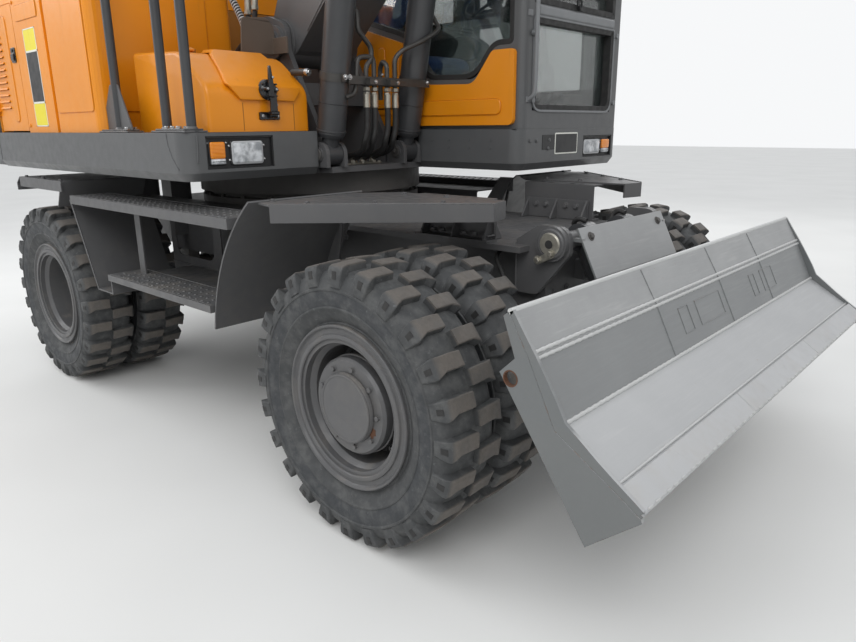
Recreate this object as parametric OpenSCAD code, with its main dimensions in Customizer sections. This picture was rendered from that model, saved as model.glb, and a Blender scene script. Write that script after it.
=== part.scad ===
// Wheeled excavator: twin-tyred axles, front dozer blade, slewing upper with cab, and a boom,
// arm and bucket. Millimetres. X is forward, Y is left, Z is up and the ground is z = 0.
// Places along X are counted from the slewing axis, and place() shifts the whole machine once.

/* [Wheels] */
// Front axle ahead of the slewing axis
front_axle_x = 1660; // [1600:5:1700]
// Distance between the axles
wheelbase = 2720; // [2640:10:2800]
// Outer radius over the tread
tyre_r = 535; // [515:1:545]
// Width of one tyre
tyre_w = 278; // [240:1:290]
// Middle of the outer tyre from the centre plane
tyre_out_y = 1106; // [1100:1:1120]
// Distance between the two tyres of a pair
twin_pitch = 330; // [320:1:340]
// Radius of the wheel's bead seat
rim_r = 257; // [250:1:262]
// Radius of the planetary hub on the front axle
hub_r = 185; // [160:1:200]
// Kingpin from the centre plane
kingpin_y = 560; // [540:1:570]

/* [Chassis] */
// Top of the chassis frame
frame_top = 1050; // [1030:5:1070]
// Bottom of the chassis frame
frame_bottom = 740; // [720:5:780]
// Half width of the frame between the front wheels
frame_half = 360; // [330:5:380]
// Half width of the frame under the slewing ring
frame_mid_half = 620; // [600:5:660]
// Thickness of the frame plates
frame_t = 24; // [16:1:30]
// Height of the fender plates
fender_z = 1235; // [1220:1:1245]
// Thickness of sheet-metal covers
sheet_t = 8; // [5:1:10]
// Half width over the steps
step_half = 1215; // [1180:5:1230]
// Height of the upper step
step_z = 1165; // [1140:5:1170]
// Height of the lower step
low_step_z = 768; // [740:1:800]

/* [Blade] */
// Half width of the blade
blade_half = 1240; // [1150:5:1250]
// Blade hinge ahead of the slewing axis
blade_pin_x = 2020; // [2010:1:2040]
// Height of the blade hinge
blade_pin_z = 480; // [460:1:500]
// Thickness of the blade's plates
blade_t = 14; // [10:1:20]
// Height of the upper pin of the blade cylinders
lift_pin_z = 1070; // [1060:1:1080]

/* [Upper] */
// Underside of the slewing deck
deck_z = 1295; // [1290:1:1310]
// Top of the skirts round the deck
skirt_top = 1500; // [1480:5:1520]
// Half width of the upper
upper_half = 1220; // [1200:5:1230]
// Front of the deck on the toolbox side
deck_front_x = 700; // [680:5:720]
// Radius of the tail
tail_r = 2250; // [2150:10:2350]
// Top of the counterweight
tail_top = 2260; // [2150:10:2320]
// Top of the hood
hood_top = 2420; // [2380:10:2460]
// Radius of the slewing ring
ring_r = 660; // [640:5:680]

/* [Cab] */
// Front face of the cab
cab_front_x = 1404; // [1390:1:1410]
// Length of the cab
cab_len = 1750; // [1700:10:1780]
// Left side of the boom's bay
bay_y1 = 194; // [192:1:196]
// Inner side of the cab
cab_y0 = 221; // [218:1:226]
// Outer side of the cab
cab_y1 = 1200; // [1180:5:1210]
// Top of the cab
cab_top = 3120; // [3080:10:3180]
// Thickness of the cab walls
cab_t = 40; // [30:1:50]
// Thickness of the glass
glass_t = 6; // [5:1:8]

/* [Working arm] */
// Middle plane of the boom, right of the machine's centre plane
boom_y = -155; // [-160:1:-150]
// Boom foot ahead of the slewing axis
boom_foot_x = 250; // [240:2:260]
// Height of the boom foot
boom_foot_z = 1946; // [1936:2:1956]
// Boom from foot pin to tip pin
boom_len = 4600; // [4500:10:4700]
// Angle of the line between the boom's pins
boom_angle = 34; // [32:0.5:36]
// Half width of the boom
boom_half = 190; // [180:1:194]
// Boom cylinders from the boom's middle plane
boom_cyl_y = 272; // [268:1:274]
// Outer radius of the boom cylinders
boom_cyl_r = 71; // [66:1:72]
// Arm from tip pin to bucket pin
arm_len = 2400; // [2300:10:2500]
// Direction of the arm above the horizon
arm_angle = -75; // [-78:1:-72]
// Half width of the arm
arm_half = 150; // [140:1:160]
// Half width of the bucket
bucket_half = 500; // [400:10:600]

/* [Hidden] */
$fn = 48;
slew_x = -1415;
gap = 0.3;
rear_axle_x = front_axle_x - wheelbase;
twin_y = tyre_out_y - twin_pitch / 2;
tyre_half = tyre_w / 2;
lugs = 24;
lug_foot = tyre_r - 52;
tread_r = tyre_r - 29;
pin_r = 35;
foot_pin_r = 45;
steer_arm = 150;
pedestal_z = 1110;
race_z = 1176;
deck_t = 30;
deck_rear_x = -1600;
bay_x = 720;
bracket_y = 210;
lug_in = 80;
panel_y = upper_half - 25;
panel_top = 2240;
rail_y = -1150;
cab_rear_x = cab_front_x - cab_len;
cab_floor = skirt_top + gap;
side_hinge = [-1572, panel_y + 11];
side_hinge_z = [1650, 2080];
door_hinge = [250, cab_y1 + 12];
door_hinge_z = [1800, 2300, 2800];
lid_pin = [330, 1868];

// Lamp windows in the skirts: x of the face, y from and to, z from and to, and the lamps as
// [from, to] along y
lamp_windows = [
    [deck_front_x, -1117, -770, 1345, 1484, [[20, 110], [125, 300]]],
    [cab_front_x, 820, 1148, 1342, 1460, [[20, 200], [215, 310]]]
];

// Top of a lug as [along the tread, across it], from the shoulder to the middle
lug = [[-32, -tyre_half + 1], [31, -tyre_half + 1], [14, -90], [17, -8], [-30, -8]];

dark = [0.27, 0.27, 0.28];
orange = [0.87, 0.59, 0.18];
silver = [0.62, 0.62, 0.62];
black = [0.12, 0.12, 0.12];
chrome = [0.78, 0.78, 0.8];
glass = [0.35, 0.45, 0.45, 0.4];

boom_foot = [boom_foot_x, boom_foot_z];
boom_cyl_foot = [687, 1386];
hose_top_z = 1690;
manifold_x = 440;
boom_cyl_on_boom = [1410, 670];
arm_cyl_on_boom = [2150, 1060];
arm_cyl_on_arm = [-420, 249];
link_on_bucket = [222, 284];
rocker_on_arm = [arm_len - 420, 0];
rocker_tip_on_arm = rocker_on_arm + link_on_bucket;
bucket_cyl_on_arm = [330, 430];
bucket_angle = -73;
blade_pin = [blade_pin_x, blade_pin_z];
lift_pin = [2000, lift_pin_z];
lift_on_blade = [2250, 620];

// Plane geometry

function unit(v) = v / norm(v);

function turn(a, p) = [cos(a) * p.x - sin(a) * p.y, sin(a) * p.x + cos(a) * p.y];

function direction(p, q) = atan2(q.y - p.y, q.x - p.x);

// Points of an arc of radius r that rounds corner b between a and c
function corner_arc(a, b, c, r, n) =
    let (
        u = unit(a - b),
        v = unit(c - b),
        half = acos(u * v) / 2,
        m = b + unit(u + v) * r / sin(half),
        s = b + u * r / tan(half) - m,
        e = b + v * r / tan(half) - m,
        a0 = atan2(s.y, s.x),
        turned = atan2(e.y, e.x) - a0,
        sweep = turned > 180 ? turned - 360 : turned < -180 ? turned + 360 : turned
    )
    [for (i = [0 : n]) m + r * [cos(a0 + sweep * i / n), sin(a0 + sweep * i / n)]];

// Outline from a table of [x, y, corner radius]
function rounded(t, n = 5) = [
    for (i = [0 : len(t) - 1])
        let (
            a = t[(i + len(t) - 1) % len(t)],
            b = t[i],
            c = t[(i + 1) % len(t)]
        )
        each (b[2] == undef || b[2] == 0
            ? [[b.x, b.y]]
            : corner_arc([a.x, a.y], [b.x, b.y], [c.x, c.y], b[2], n))
];

// Outline from the same table with every side moved outwards by d (points run anticlockwise)
function grown(t, d) = [
    for (i = [0 : len(t) - 1])
        let (
            a = t[(i + len(t) - 1) % len(t)],
            b = t[i],
            c = t[(i + 1) % len(t)],
            u = unit([b.x - a.x, b.y - a.y]),
            v = unit([c.x - b.x, c.y - b.y]),
            nu = [u.y, -u.x],
            nv = [v.y, -v.x],
            m = (nu + nv) * d / (1 + nu * nv)
        )
        [b.x + m.x, b.y + m.y, b[2] == undef ? 0 : b[2] + (b[2] > 0 ? d : 0)]
];

// Strip of thickness t along a bent line
function strip(line, t) = concat(
    line,
    [for (i = [len(line) - 1 : -1 : 0])
        let (
            a = line[max(i - 1, 0)],
            c = line[min(i + 1, len(line) - 1)],
            u = i > 0 ? unit(line[i] - a) : unit(c - line[i]),
            v = i < len(line) - 1 ? unit(c - line[i]) : u,
            nu = [u.y, -u.x],
            nv = [v.y, -v.x]
        )
        line[i] + (nu + nv) * t / (1 + nu * nv)]
);

// Solids

module place() {
    translate([slew_x, 0, 0]) children();
}

module both_sides() {
    children();
    mirror([0, 1, 0]) children();
}

module box(lo, hi) {
    translate(lo) cube(hi - lo);
}

module plate_x(outline, x0, t) {
    translate([x0, 0, 0]) rotate([90, 0, 90]) linear_extrude(t) polygon(outline);
}

module plate_y(outline, y0, t) {
    translate([0, y0 + t, 0]) rotate([90, 0, 0]) linear_extrude(t) polygon(outline);
}

module plate_z(outline, z0, t) {
    translate([0, 0, z0]) linear_extrude(t) polygon(outline);
}

module round_x(y, z, r, x0, x1) {
    translate([x0, y, z]) rotate([0, 90, 0]) cylinder(r = r, h = x1 - x0);
}

module round_y(x, z, r, y0, y1) {
    translate([x, y0, z]) rotate([-90, 0, 0]) cylinder(r = r, h = y1 - y0);
}

module round_z(x, y, r, z0, z1) {
    translate([x, y, z0]) cylinder(r = r, h = z1 - z0);
}

// Hinge along Z at p: the fixed pin with its two ears, and the tube that turns on it. The
// ears and the tube's leaf fill the rectangle at, given by two corners.
module hinge_pin(p, z, at) {
    round_z(p.x, p.y, 6, z - 50, z + 50);
    for (s = [z - 50, z + 28])
        box([at[0].x, at[0].y, s], [at[1].x, at[1].y, s + 22]);
}

module hinge_tube(p, z, at) difference() {
    union() {
        round_z(p.x, p.y, 11, z - 26, z + 26);
        box([at[0].x, at[0].y, z - 26], [at[1].x, at[1].y, z + 26]);
    }
    round_z(p.x, p.y, 6 + gap, z - 30, z + 30);
}

// Frame with its origin at p in the X-Z plane and +X along the given direction
module at_pin(p, angle) {
    translate([p.x, 0, p.y]) rotate([0, -angle, 0]) children();
}

// Wheels

module tyre_ring() {
    outer = [
        [rim_r + gap, -92], [rim_r + 50, -95], [rim_r + 78, -tyre_half + 24],
        [430, -tyre_half + 1, 90], [lug_foot - 10, -tyre_half + 5], [tread_r - 10, -tyre_half + 26],
        [tread_r, -tyre_half + 50], [tread_r, tyre_half - 50], [tread_r - 10, tyre_half - 26],
        [lug_foot - 10, tyre_half - 5], [430, tyre_half - 1, 90],
        [rim_r + 78, tyre_half - 24], [rim_r + 50, 95], [rim_r + gap, 92]
    ];
    inner = [
        [rim_r + gap, 70], [rim_r + 70, 76], [430, tyre_half - 28, 60], [tyre_r - 60, 80, 15],
        [tyre_r - 60, -80, 15], [430, -tyre_half + 28, 60], [rim_r + 70, -76], [rim_r + gap, -70]
    ];
    rotate_extrude($fn = 96) polygon(rounded(concat(outer, inner), 4));
    // Two rows of lugs, half a pitch apart
    for (side = [0, 1])
        mirror([0, 0, side]) for (i = [0 : lugs - 1])
            rotate((i + side / 2) * 360 / lugs) plate_x(lug, lug_foot, tyre_r - lug_foot);
}

module tyre_pair(x, side) {
    for (y = [tyre_out_y, tyre_out_y - twin_pitch])
        translate([x, side * y, tyre_r]) rotate([-90, 0, 0]) tyre_ring();
}

// Rim of one tyre, turned about Z, with its flanges 95 mm either side of the middle
module rim_ring() {
    rotate_extrude($fn = 96)
        polygon([
            [rim_r, -95.3], [rim_r + 46, -95.3], [rim_r + 55, -100], [rim_r + 52, -105],
            [rim_r - 14, -105], [rim_r - 14, -60], [rim_r - 30, -40], [rim_r - 30, 60],
            [rim_r - 14, 80], [rim_r - 14, 105], [rim_r + 52, 105], [rim_r + 55, 100],
            [rim_r + 46, 95.3], [rim_r, 95.3]
        ]);
}

// Both rims of a pair with the spacer between them and the hub, on the wheel's own axis.
// hub: outer face, drum radius, disc place, each measured from the centre plane
module rim_pair(x, side, hub_face, drum_r, disc_y, cover_r) {
    inner_y = 660;
    translate([x, 0, tyre_r]) mirror([0, side < 0 ? 1 : 0, 0]) rotate([-90, 0, 0]) {
        for (y = [tyre_out_y, tyre_out_y - twin_pitch])
            translate([0, 0, y]) rim_ring();
        difference() {
            translate([0, 0, tyre_out_y - twin_pitch + 60])
                cylinder(r = rim_r - 14, h = twin_pitch - 100, $fn = 96);
            translate([0, 0, tyre_out_y - twin_pitch + 50])
                cylinder(r = rim_r - 30, h = twin_pitch - 80, $fn = 96);
        }
        difference() {
            union() {
                translate([0, 0, inner_y]) cylinder(r = drum_r, h = hub_face - inner_y - 12);
                translate([0, 0, hub_face - 12]) cylinder(r1 = drum_r, r2 = drum_r - 10, h = 12);
                translate([0, 0, hub_face]) cylinder(r = cover_r, h = 22);
                translate([0, 0, disc_y]) cylinder(r = rim_r - 28, h = 22, $fn = 96);
            }
            translate([0, 0, inner_y - 1]) cylinder(r = 70 + gap, h = 151);
        }
        for (i = [0 : 9])
            rotate(i * 36) translate([rim_r - 50, 0, disc_y + 20])
                cylinder(r = 14, h = 26, $fn = 6);
        for (i = [0 : 8])
            rotate(i * 40) translate([cover_r + 22, 0, hub_face - 2])
                cylinder(r = 10, h = 12, $fn = 6);
    }
}

module knuckle() {
    z = tyre_r;
    y = kingpin_y;
    translate([front_axle_x, 0, 0]) {
        round_z(0, y, 72, z - 94.5, z + 94.5);
        round_z(0, y, 24, z - 138, z + 138);
        round_y(0, z, 80, y, 645);
        round_y(0, z, 120, 640, 655);
        round_y(0, z, 70, 650, 800);
        // Steering arm
        box([-steer_arm - 15, y + 15, z - 35], [0, y + 53, z - 15]);
        round_z(-steer_arm, y + 34, 30, z - 35, z - 15);
    }
}

// Axles

module front_axle() color(dark) place() {
    z = tyre_r;
    translate([front_axle_x, 0, 0]) difference() {
        union() {
            round_y(0, z, 100, -440, 440);
            translate([0, 0, z]) rotate([90, 0, 0]) translate([0, 0, -150])
                rotate_extrude()
                    polygon([[0, 0], [110, 0], [165, 40], [190, 90], [190, 210], [165, 260],
                             [110, 300], [0, 300]]);
            both_sides() for (s = [-1, 1]) translate([0, 0, z + s * 110]) {
                box([-65, 380, -15], [65, kingpin_y, 15]);
                round_z(0, kingpin_y, 65, -15, 15);
            }
            both_sides() box([-65, 380, z - 125], [65, 440, z + 125]);
            round_x(0, z, 70, -235, 235);
            // Barrel of the steering cylinder
            round_y(-steer_arm, z + 13, 40, -260, 260);
        }
        both_sides() round_z(0, kingpin_y, 24 + gap, z - 130, z + 130);
        round_y(-steer_arm, z + 13, 20 + gap, -270, 270);
    }
}

module tie_rod() color(chrome) place() {
    z = tyre_r;
    translate([front_axle_x - steer_arm, 0, 0]) {
        round_y(0, z + 13, 20, -520, 520);
        both_sides() {
            box([-20, 500, z - 7], [20, kingpin_y + 34, z + 18]);
            round_z(0, kingpin_y + 34, 28, z - 7, z + 18);
        }
    }
}

module knuckle_right() color(dark) place() mirror([0, 1, 0]) knuckle();

module knuckle_left() color(dark) place() knuckle();

module rear_axle() color(dark) place() {
    z = tyre_r;
    translate([rear_axle_x, 0, 0]) {
        both_sides() {
            round_y(0, z, 110, 0, 600);
            round_y(0, z, 150, 590, 655);
            round_y(0, z, 70, 650, 800);
            box([-110, frame_half - 80, z], [110, frame_half, frame_bottom]);
        }
        translate([0, 0, z]) rotate([90, 0, 0]) translate([0, 0, -170])
            rotate_extrude()
                polygon([[0, 0], [120, 0], [180, 45], [205, 100], [205, 240], [180, 295],
                         [120, 340], [0, 340]]);
        box([150, -130, z - 190], [420, 130, z + 180]);
        round_x(0, z - 60, 90, 400, 470);
        round_y(300, z + 90, 120, 130, 330);
    }
}

module driveline() color(dark) place() {
    z0 = tyre_r - 60;
    z1 = tyre_r;
    x0 = rear_axle_x + 470 + gap;
    x1 = front_axle_x - 235 - gap;
    reach = norm([x1 - x0, z1 - z0]);
    at_pin([x0, z0], direction([x0, z0], [x1, z1])) {
        round_x(0, 0, 38, 60, reach - 60);
        round_x(0, 0, 48, 120, 360);
        for (x = [4, reach - 64])
            box([x, -45, -45], [x + 60, 45, 45]);
    }
    round_x(0, z0, 60, x0, x0 + 20);
    round_x(0, z1, 60, x1 - 20, x1);
}

module rims_front_right() color(dark) place()
    rim_pair(front_axle_x, -1, 1200, hub_r, 1000, 130);

module rims_front_left() color(dark) place()
    rim_pair(front_axle_x, 1, 1200, hub_r, 1000, 130);

module rims_rear_right() color(dark) place()
    rim_pair(rear_axle_x, -1, 1020, 150, 930, 90);

module rims_rear_left() color(dark) place()
    rim_pair(rear_axle_x, 1, 1020, 150, 930, 90);

module tyres_front_right() color(black) place() tyre_pair(front_axle_x, -1);

module tyres_front_left() color(black) place() tyre_pair(front_axle_x, 1);

module tyres_rear_right() color(black) place() tyre_pair(rear_axle_x, -1);

module tyres_rear_left() color(black) place() tyre_pair(rear_axle_x, 1);

// Chassis

module chassis_frame() color(dark) place() {
    z0 = frame_bottom;
    z1 = frame_top;
    t = frame_t;
    mid_x = 760;
    rear_x = rear_axle_x - 290;
    nose_x = 1885;
    axle_x = front_axle_x;
    rear_half = frame_half + 60;
    plan = [
        [rear_x, -rear_half], [-mid_x - 60, -rear_half], [-mid_x + 100, -frame_mid_half],
        [mid_x - 100, -frame_mid_half], [mid_x + 60, -470], [nose_x, -470],
        [nose_x, 470], [mid_x + 60, 470], [mid_x - 100, frame_mid_half],
        [-mid_x + 100, frame_mid_half], [-mid_x - 60, rear_half], [rear_x, rear_half]
    ];
    plate_z(plan, z1 - t, t);
    both_sides() {
        box([rear_x, frame_half - t, z0], [nose_x, frame_half, z1 - t + 1]);
        box([-mid_x + 100, frame_mid_half - t, z0 + 60], [mid_x - 100, frame_mid_half, z1 - t + 1]);
    }
    for (x = [rear_x, -mid_x + 100, mid_x - 100 - t, nose_x - t])
        box([x, -frame_half, z0], [x + t, frame_half, z1 - t + 1]);
    for (x = [-mid_x + 100, mid_x - 100 - t])
        box([x, -frame_mid_half, z0 + 60], [x + t, frame_mid_half, z1 - t + 1]);
    box([-mid_x + 100, -frame_half, z0], [mid_x - 100, frame_half, z0 + t]);
    // Bearing plates that carry the front axle on its two trunnions
    for (x = [axle_x - 225, axle_x + 200]) difference() {
        plate_x(rounded([
            [-150, tyre_r - 115, 80], [150, tyre_r - 115, 80], [300, z1 - t + 1], [-300, z1 - t + 1]
        ]), x, t);
        round_x(0, tyre_r, 70 + gap, x - 1, x + t + 1);
    }
    // Nose plates with the blade hinge and the upper pin of its cylinders
    both_sides() {
        difference() {
            plate_y(rounded([
                [nose_x - 60, z0], [nose_x - 60, 560], [blade_pin.x - 70, blade_pin.y - 75, 60],
                [blade_pin.x + 75, blade_pin.y - 75, 70], [blade_pin.x + 75, 560, 40],
                [nose_x + 60, 760], [nose_x + 60, z1 - t], [nose_x - 60, z1 - t]
            ]), frame_half - 2 * t, 2 * t);
            round_y(blade_pin.x, blade_pin.y, pin_r + gap, frame_half - 60, frame_half + 10);
        }
        difference() {
            plate_y(rounded([
                [1822, z1 - 200], [nose_x + 40, z1 - 200, 40], [lift_pin.x + 72, lift_pin.y - 40, 30],
                [lift_pin.x + 72, lift_pin.y + 68, 60], [lift_pin.x - 72, lift_pin.y + 68, 60],
                [1822, z1 + 20]
            ]), 374, 26);
            round_y(lift_pin.x, lift_pin.y, pin_r + gap, 370, 410);
        }
        box([1822, frame_half - 1, z1 - 200], [nose_x, 375, z1 - t + 1]);
        round_y(lift_pin.x, lift_pin.y, 70, 399, 425);
    }
    round_y(lift_pin.x, lift_pin.y, pin_r, -425, 425);
    box([nose_x - 1, -frame_half + t, 790], [nose_x + 20, frame_half - t, z1 - t]);
    // Pedestal of the slewing ring
    difference() {
        round_z(0, 0, ring_r - 40, z1 - 1, pedestal_z);
        round_z(0, 0, ring_r - 140, z1 - 2, pedestal_z + 1);
    }
}

module slew_ring_lower() color(dark) place() difference() {
    union() {
        round_z(0, 0, ring_r - 10, pedestal_z + gap, 1150, $fn = 96);
        round_z(0, 0, ring_r - 60, 1149, race_z - gap, $fn = 96);
        for (i = [0 : 23])
            rotate(i * 15) translate([ring_r - 30, 0, 1149]) cylinder(r = 14, h = 14, $fn = 6);
    }
    round_z(0, 0, ring_r - 150, 1100, 1180);
}

module steps_right() color(dark) place() mirror([0, 1, 0]) steps();

module steps_left() color(dark) place() steps();

module steps() {
    t = sheet_t;
    upper = [rear_axle_x + 450, 968];
    lower = [rear_axle_x + 810, 775];
    wall = [rear_axle_x + 570, 740];
    guard = [rear_axle_x + 410, rear_axle_x + 630];
    in_y = 1000;
    wall_y = 700;
    wall_mid = 20;
    deck_z0 = step_z - 45;
    guard_z = 655;
    // Upper step, and the floor that joins it to the back wall
    box([upper[0], in_y, deck_z0], [upper[1], step_half, step_z]);
    box([upper[0] - 36, wall_y, deck_z0], [wall[1], in_y + 1, deck_z0 + t]);
    // Lower step, and its floor
    box([lower[0], in_y, low_step_z - 33], [lower[1], step_half, low_step_z]);
    box([lower[0], wall_y + t - 1, low_step_z - 33], [wall[1], in_y + 1, low_step_z - 33 + t]);
    // Back wall with its rounded windows
    difference() {
        box([wall[0], wall_y, 640], [wall[1], wall_y + t, deck_z0 + 1]);
        for (x = [[wall[0] + 50, wall_mid - 40], [wall_mid + 40, 560]])
            plate_y(rounded([
                [x[0], 790, 60], [x[1], 790, 60], [x[1], 1060, 60], [x[0], 1060, 60]
            ]), wall_y - 5, t + 10);
    }
    // Brackets from the frame to the back wall
    for (x = [wall[0] + 10, 600])
        box([x, frame_mid_half + gap, 900], [x + 40, wall_y + 1, 1000]);
    // Post between the two steps
    box([lower[0] + 75, in_y + 60, low_step_z - 1], [lower[0] + 135, in_y + 60 + t, deck_z0 + 1]);
    // Slanted guard at the rear
    plate_y([
        [guard[0], step_z - 28], [guard[1], guard_z + 5], [guard[1] - 8, guard_z],
        [guard[0] - 12, step_z - 28]
    ], 760, 440);
    box([guard[1] - 10, 760, guard_z], [lower[0] + 1, 1200, guard_z + t]);
    box([lower[0] - t, 760, guard_z], [lower[0], 1200, low_step_z - 25]);
}

module front_fender() {
    t = sheet_t;
    // Flat plate with its folded edge
    plate_z([
        [1040, 1135], [1220, 1180], [1867, 620], [1836, 500], [1249, 490], [1060, 700]
    ], fender_z - t, t);
    edge = [[1220, 1180], [1867, 620], [1836, 500]];
    plate_z(strip(edge, t), fender_z - 70, 70);
    // Flange that stands on the frame, with its gussets
    box([1310, 400, frame_top], [1720, 400 + t, fender_z - t + 1]);
    box([1310, 400, frame_top], [1720, 470, frame_top + t]);
    for (x = [1340, 1515, 1690])
        plate_x([[407, frame_top + t - 1], [465, frame_top + t - 1], [407, 1190]], x, t);
    box([1310, 400, fender_z - 2 * t], [1720, 500, fender_z - t + 1]);
    // Mudguard: part of a ring about the axle, behind the wheel
    translate([front_axle_x, 600, tyre_r]) rotate([-90, 0, 0])
        rotate([0, 0, 188]) rotate_extrude(angle = 44, $fn = 96)
            translate([890, 0]) square([t, 600]);
    box([1010, 600, 1150], [1085, 608, fender_z - t + 1]);
    plate_y([
        [780, 660], [1075, 1206], [1085, fender_z - t + 1], [1000, fender_z - t + 1], [760, 900]
    ], 592, t + 1);
}

module front_fender_right() color(dark) place() mirror([0, 1, 0]) front_fender();

module front_fender_left() color(dark) place() front_fender();

module rear_fenders() color(dark) place() both_sides() {
    t = sheet_t;
    x0 = rear_axle_x - 350;
    x1 = rear_axle_x + 302;
    box([x0, 430, fender_z - t], [x1, 1200, fender_z]);
    plate_y([
        [x1 - 1, fender_z], [x1 - 1, fender_z - t], [x1 - 87, 1085], [x1 - 79, 1085],
        [x1 + 8, fender_z - t], [x1 + 8, fender_z]
    ], 700, 500);
    box([x0 - 60, 430, 1150], [x0 - 52, 1200, fender_z - 40]);
    plate_y([
        [x0 - 60, fender_z - 41], [x0 - 52, fender_z - 41], [x0 + 1, fender_z - t], [x0 + 1, fender_z]
    ], 430, 770);
    box([x0, 1192, fender_z - 60], [x1, 1200, fender_z - t + 1]);
    // Legs that stand on the frame
    for (x = [x0 + 60, x1 - 160])
        box([x, 380, frame_top + gap], [x + 120, 520, fender_z - t + 1]);
}

// Blade

blade_face = [[2387, 1030], [2454, 912], [2544, 726], [2724, 615], [2806, 562]];

module blade_mouldboard() color(silver) place() {
    both_sides() difference() {
        plate_y([
            [2361, 853], [2412, 903], [2370, 1018], [2387, 1032], [2456, 913], [2546, 728],
            [2726, 617], [2808, 564], [2812, 554], [2657, 417]
        ], blade_half - blade_t, blade_t);
        round_y(2399, 841, 22, blade_half - 50, blade_half + 5);
    }
    face_up = [for (i = [4 : -1 : 0]) blade_face[i]];
    plate_y(strip(face_up, blade_t), -blade_half + 1, 2 * blade_half - 2);
    // Back stiffeners, which reach into the face plate
    in_face = [for (i = [0 : 3]) blade_face[i] + [-9, -6]];
    back = [[2640, 610], [2520, 640], [2440, 780], [2385, 930]];
    for (y = [-900, -560, 540, 880])
        plate_y(concat(in_face, back), y, 16);
    box([2380, -blade_half + 40, 960], [2410, blade_half - 40, 990]);
}

module blade_arms() color(dark) place() {
    both_sides() {
        difference() {
            plate_y(rounded([
                [blade_pin.x - 55, blade_pin.y - 55, 54], [blade_pin.x + 60, blade_pin.y - 55, 50],
                [2600, 575, 40], [2651.8, 659.1], [2543.7, 725.8], [2485.2, 846.8], [2420, 830, 30],
                [2210, 690, 50], [blade_pin.x - 55, blade_pin.y + 55, 54]
            ]), 240, 60);
            round_y(blade_pin.x, blade_pin.y, pin_r - 5, 230, 310);
        }
        round_y(blade_pin.x, blade_pin.y, pin_r, 235, frame_half + 6);
        round_y(lift_on_blade.x, lift_on_blade.y, 45, 214, 241);
    }
    box([2300, -241, 560], [2420, 241, 600]);
}

module blade_cover() color(silver) place() {
    plate_y(strip([[2172, 944], [2079, 1130]], 8), -370, 740);
    both_sides() box([lift_pin.x + 72 + gap, 350, 1080], [2110, 369, 1095]);
    both_sides() box([2056, 369, 1080], [2110, 374 - gap, 1095]);
}

module blade_barrels() color(dark) place() both_sides() translate([0, 170, 0])
    at_pin(lift_pin, direction(lift_pin, lift_on_blade)) difference() {
        union() {
            round_y(0, 0, 58, -45, 45);
            round_x(0, 0, 52, 40, 360);
        }
        round_y(0, 0, pin_r + gap, -50, 50);
        round_x(0, 0, 30 + gap, 100, 370);
    }

module blade_rods() color(chrome) place() both_sides() translate([0, 170, 0]) {
    reach = norm(lift_on_blade - lift_pin);
    at_pin(lift_pin, direction(lift_pin, lift_on_blade)) difference() {
        union() {
            round_x(0, 0, 30, 120, reach - 30);
            round_y(reach, 0, 48, -40, 40);
        }
        round_y(reach, 0, 25, -60, 60);
    }
}

// Upper structure

module slew_ring_upper() color(dark) place() difference() {
    round_z(0, 0, ring_r, race_z, deck_z - gap, $fn = 96);
    round_z(0, 0, ring_r - 170, race_z - 1, deck_z + 10);
}

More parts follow.
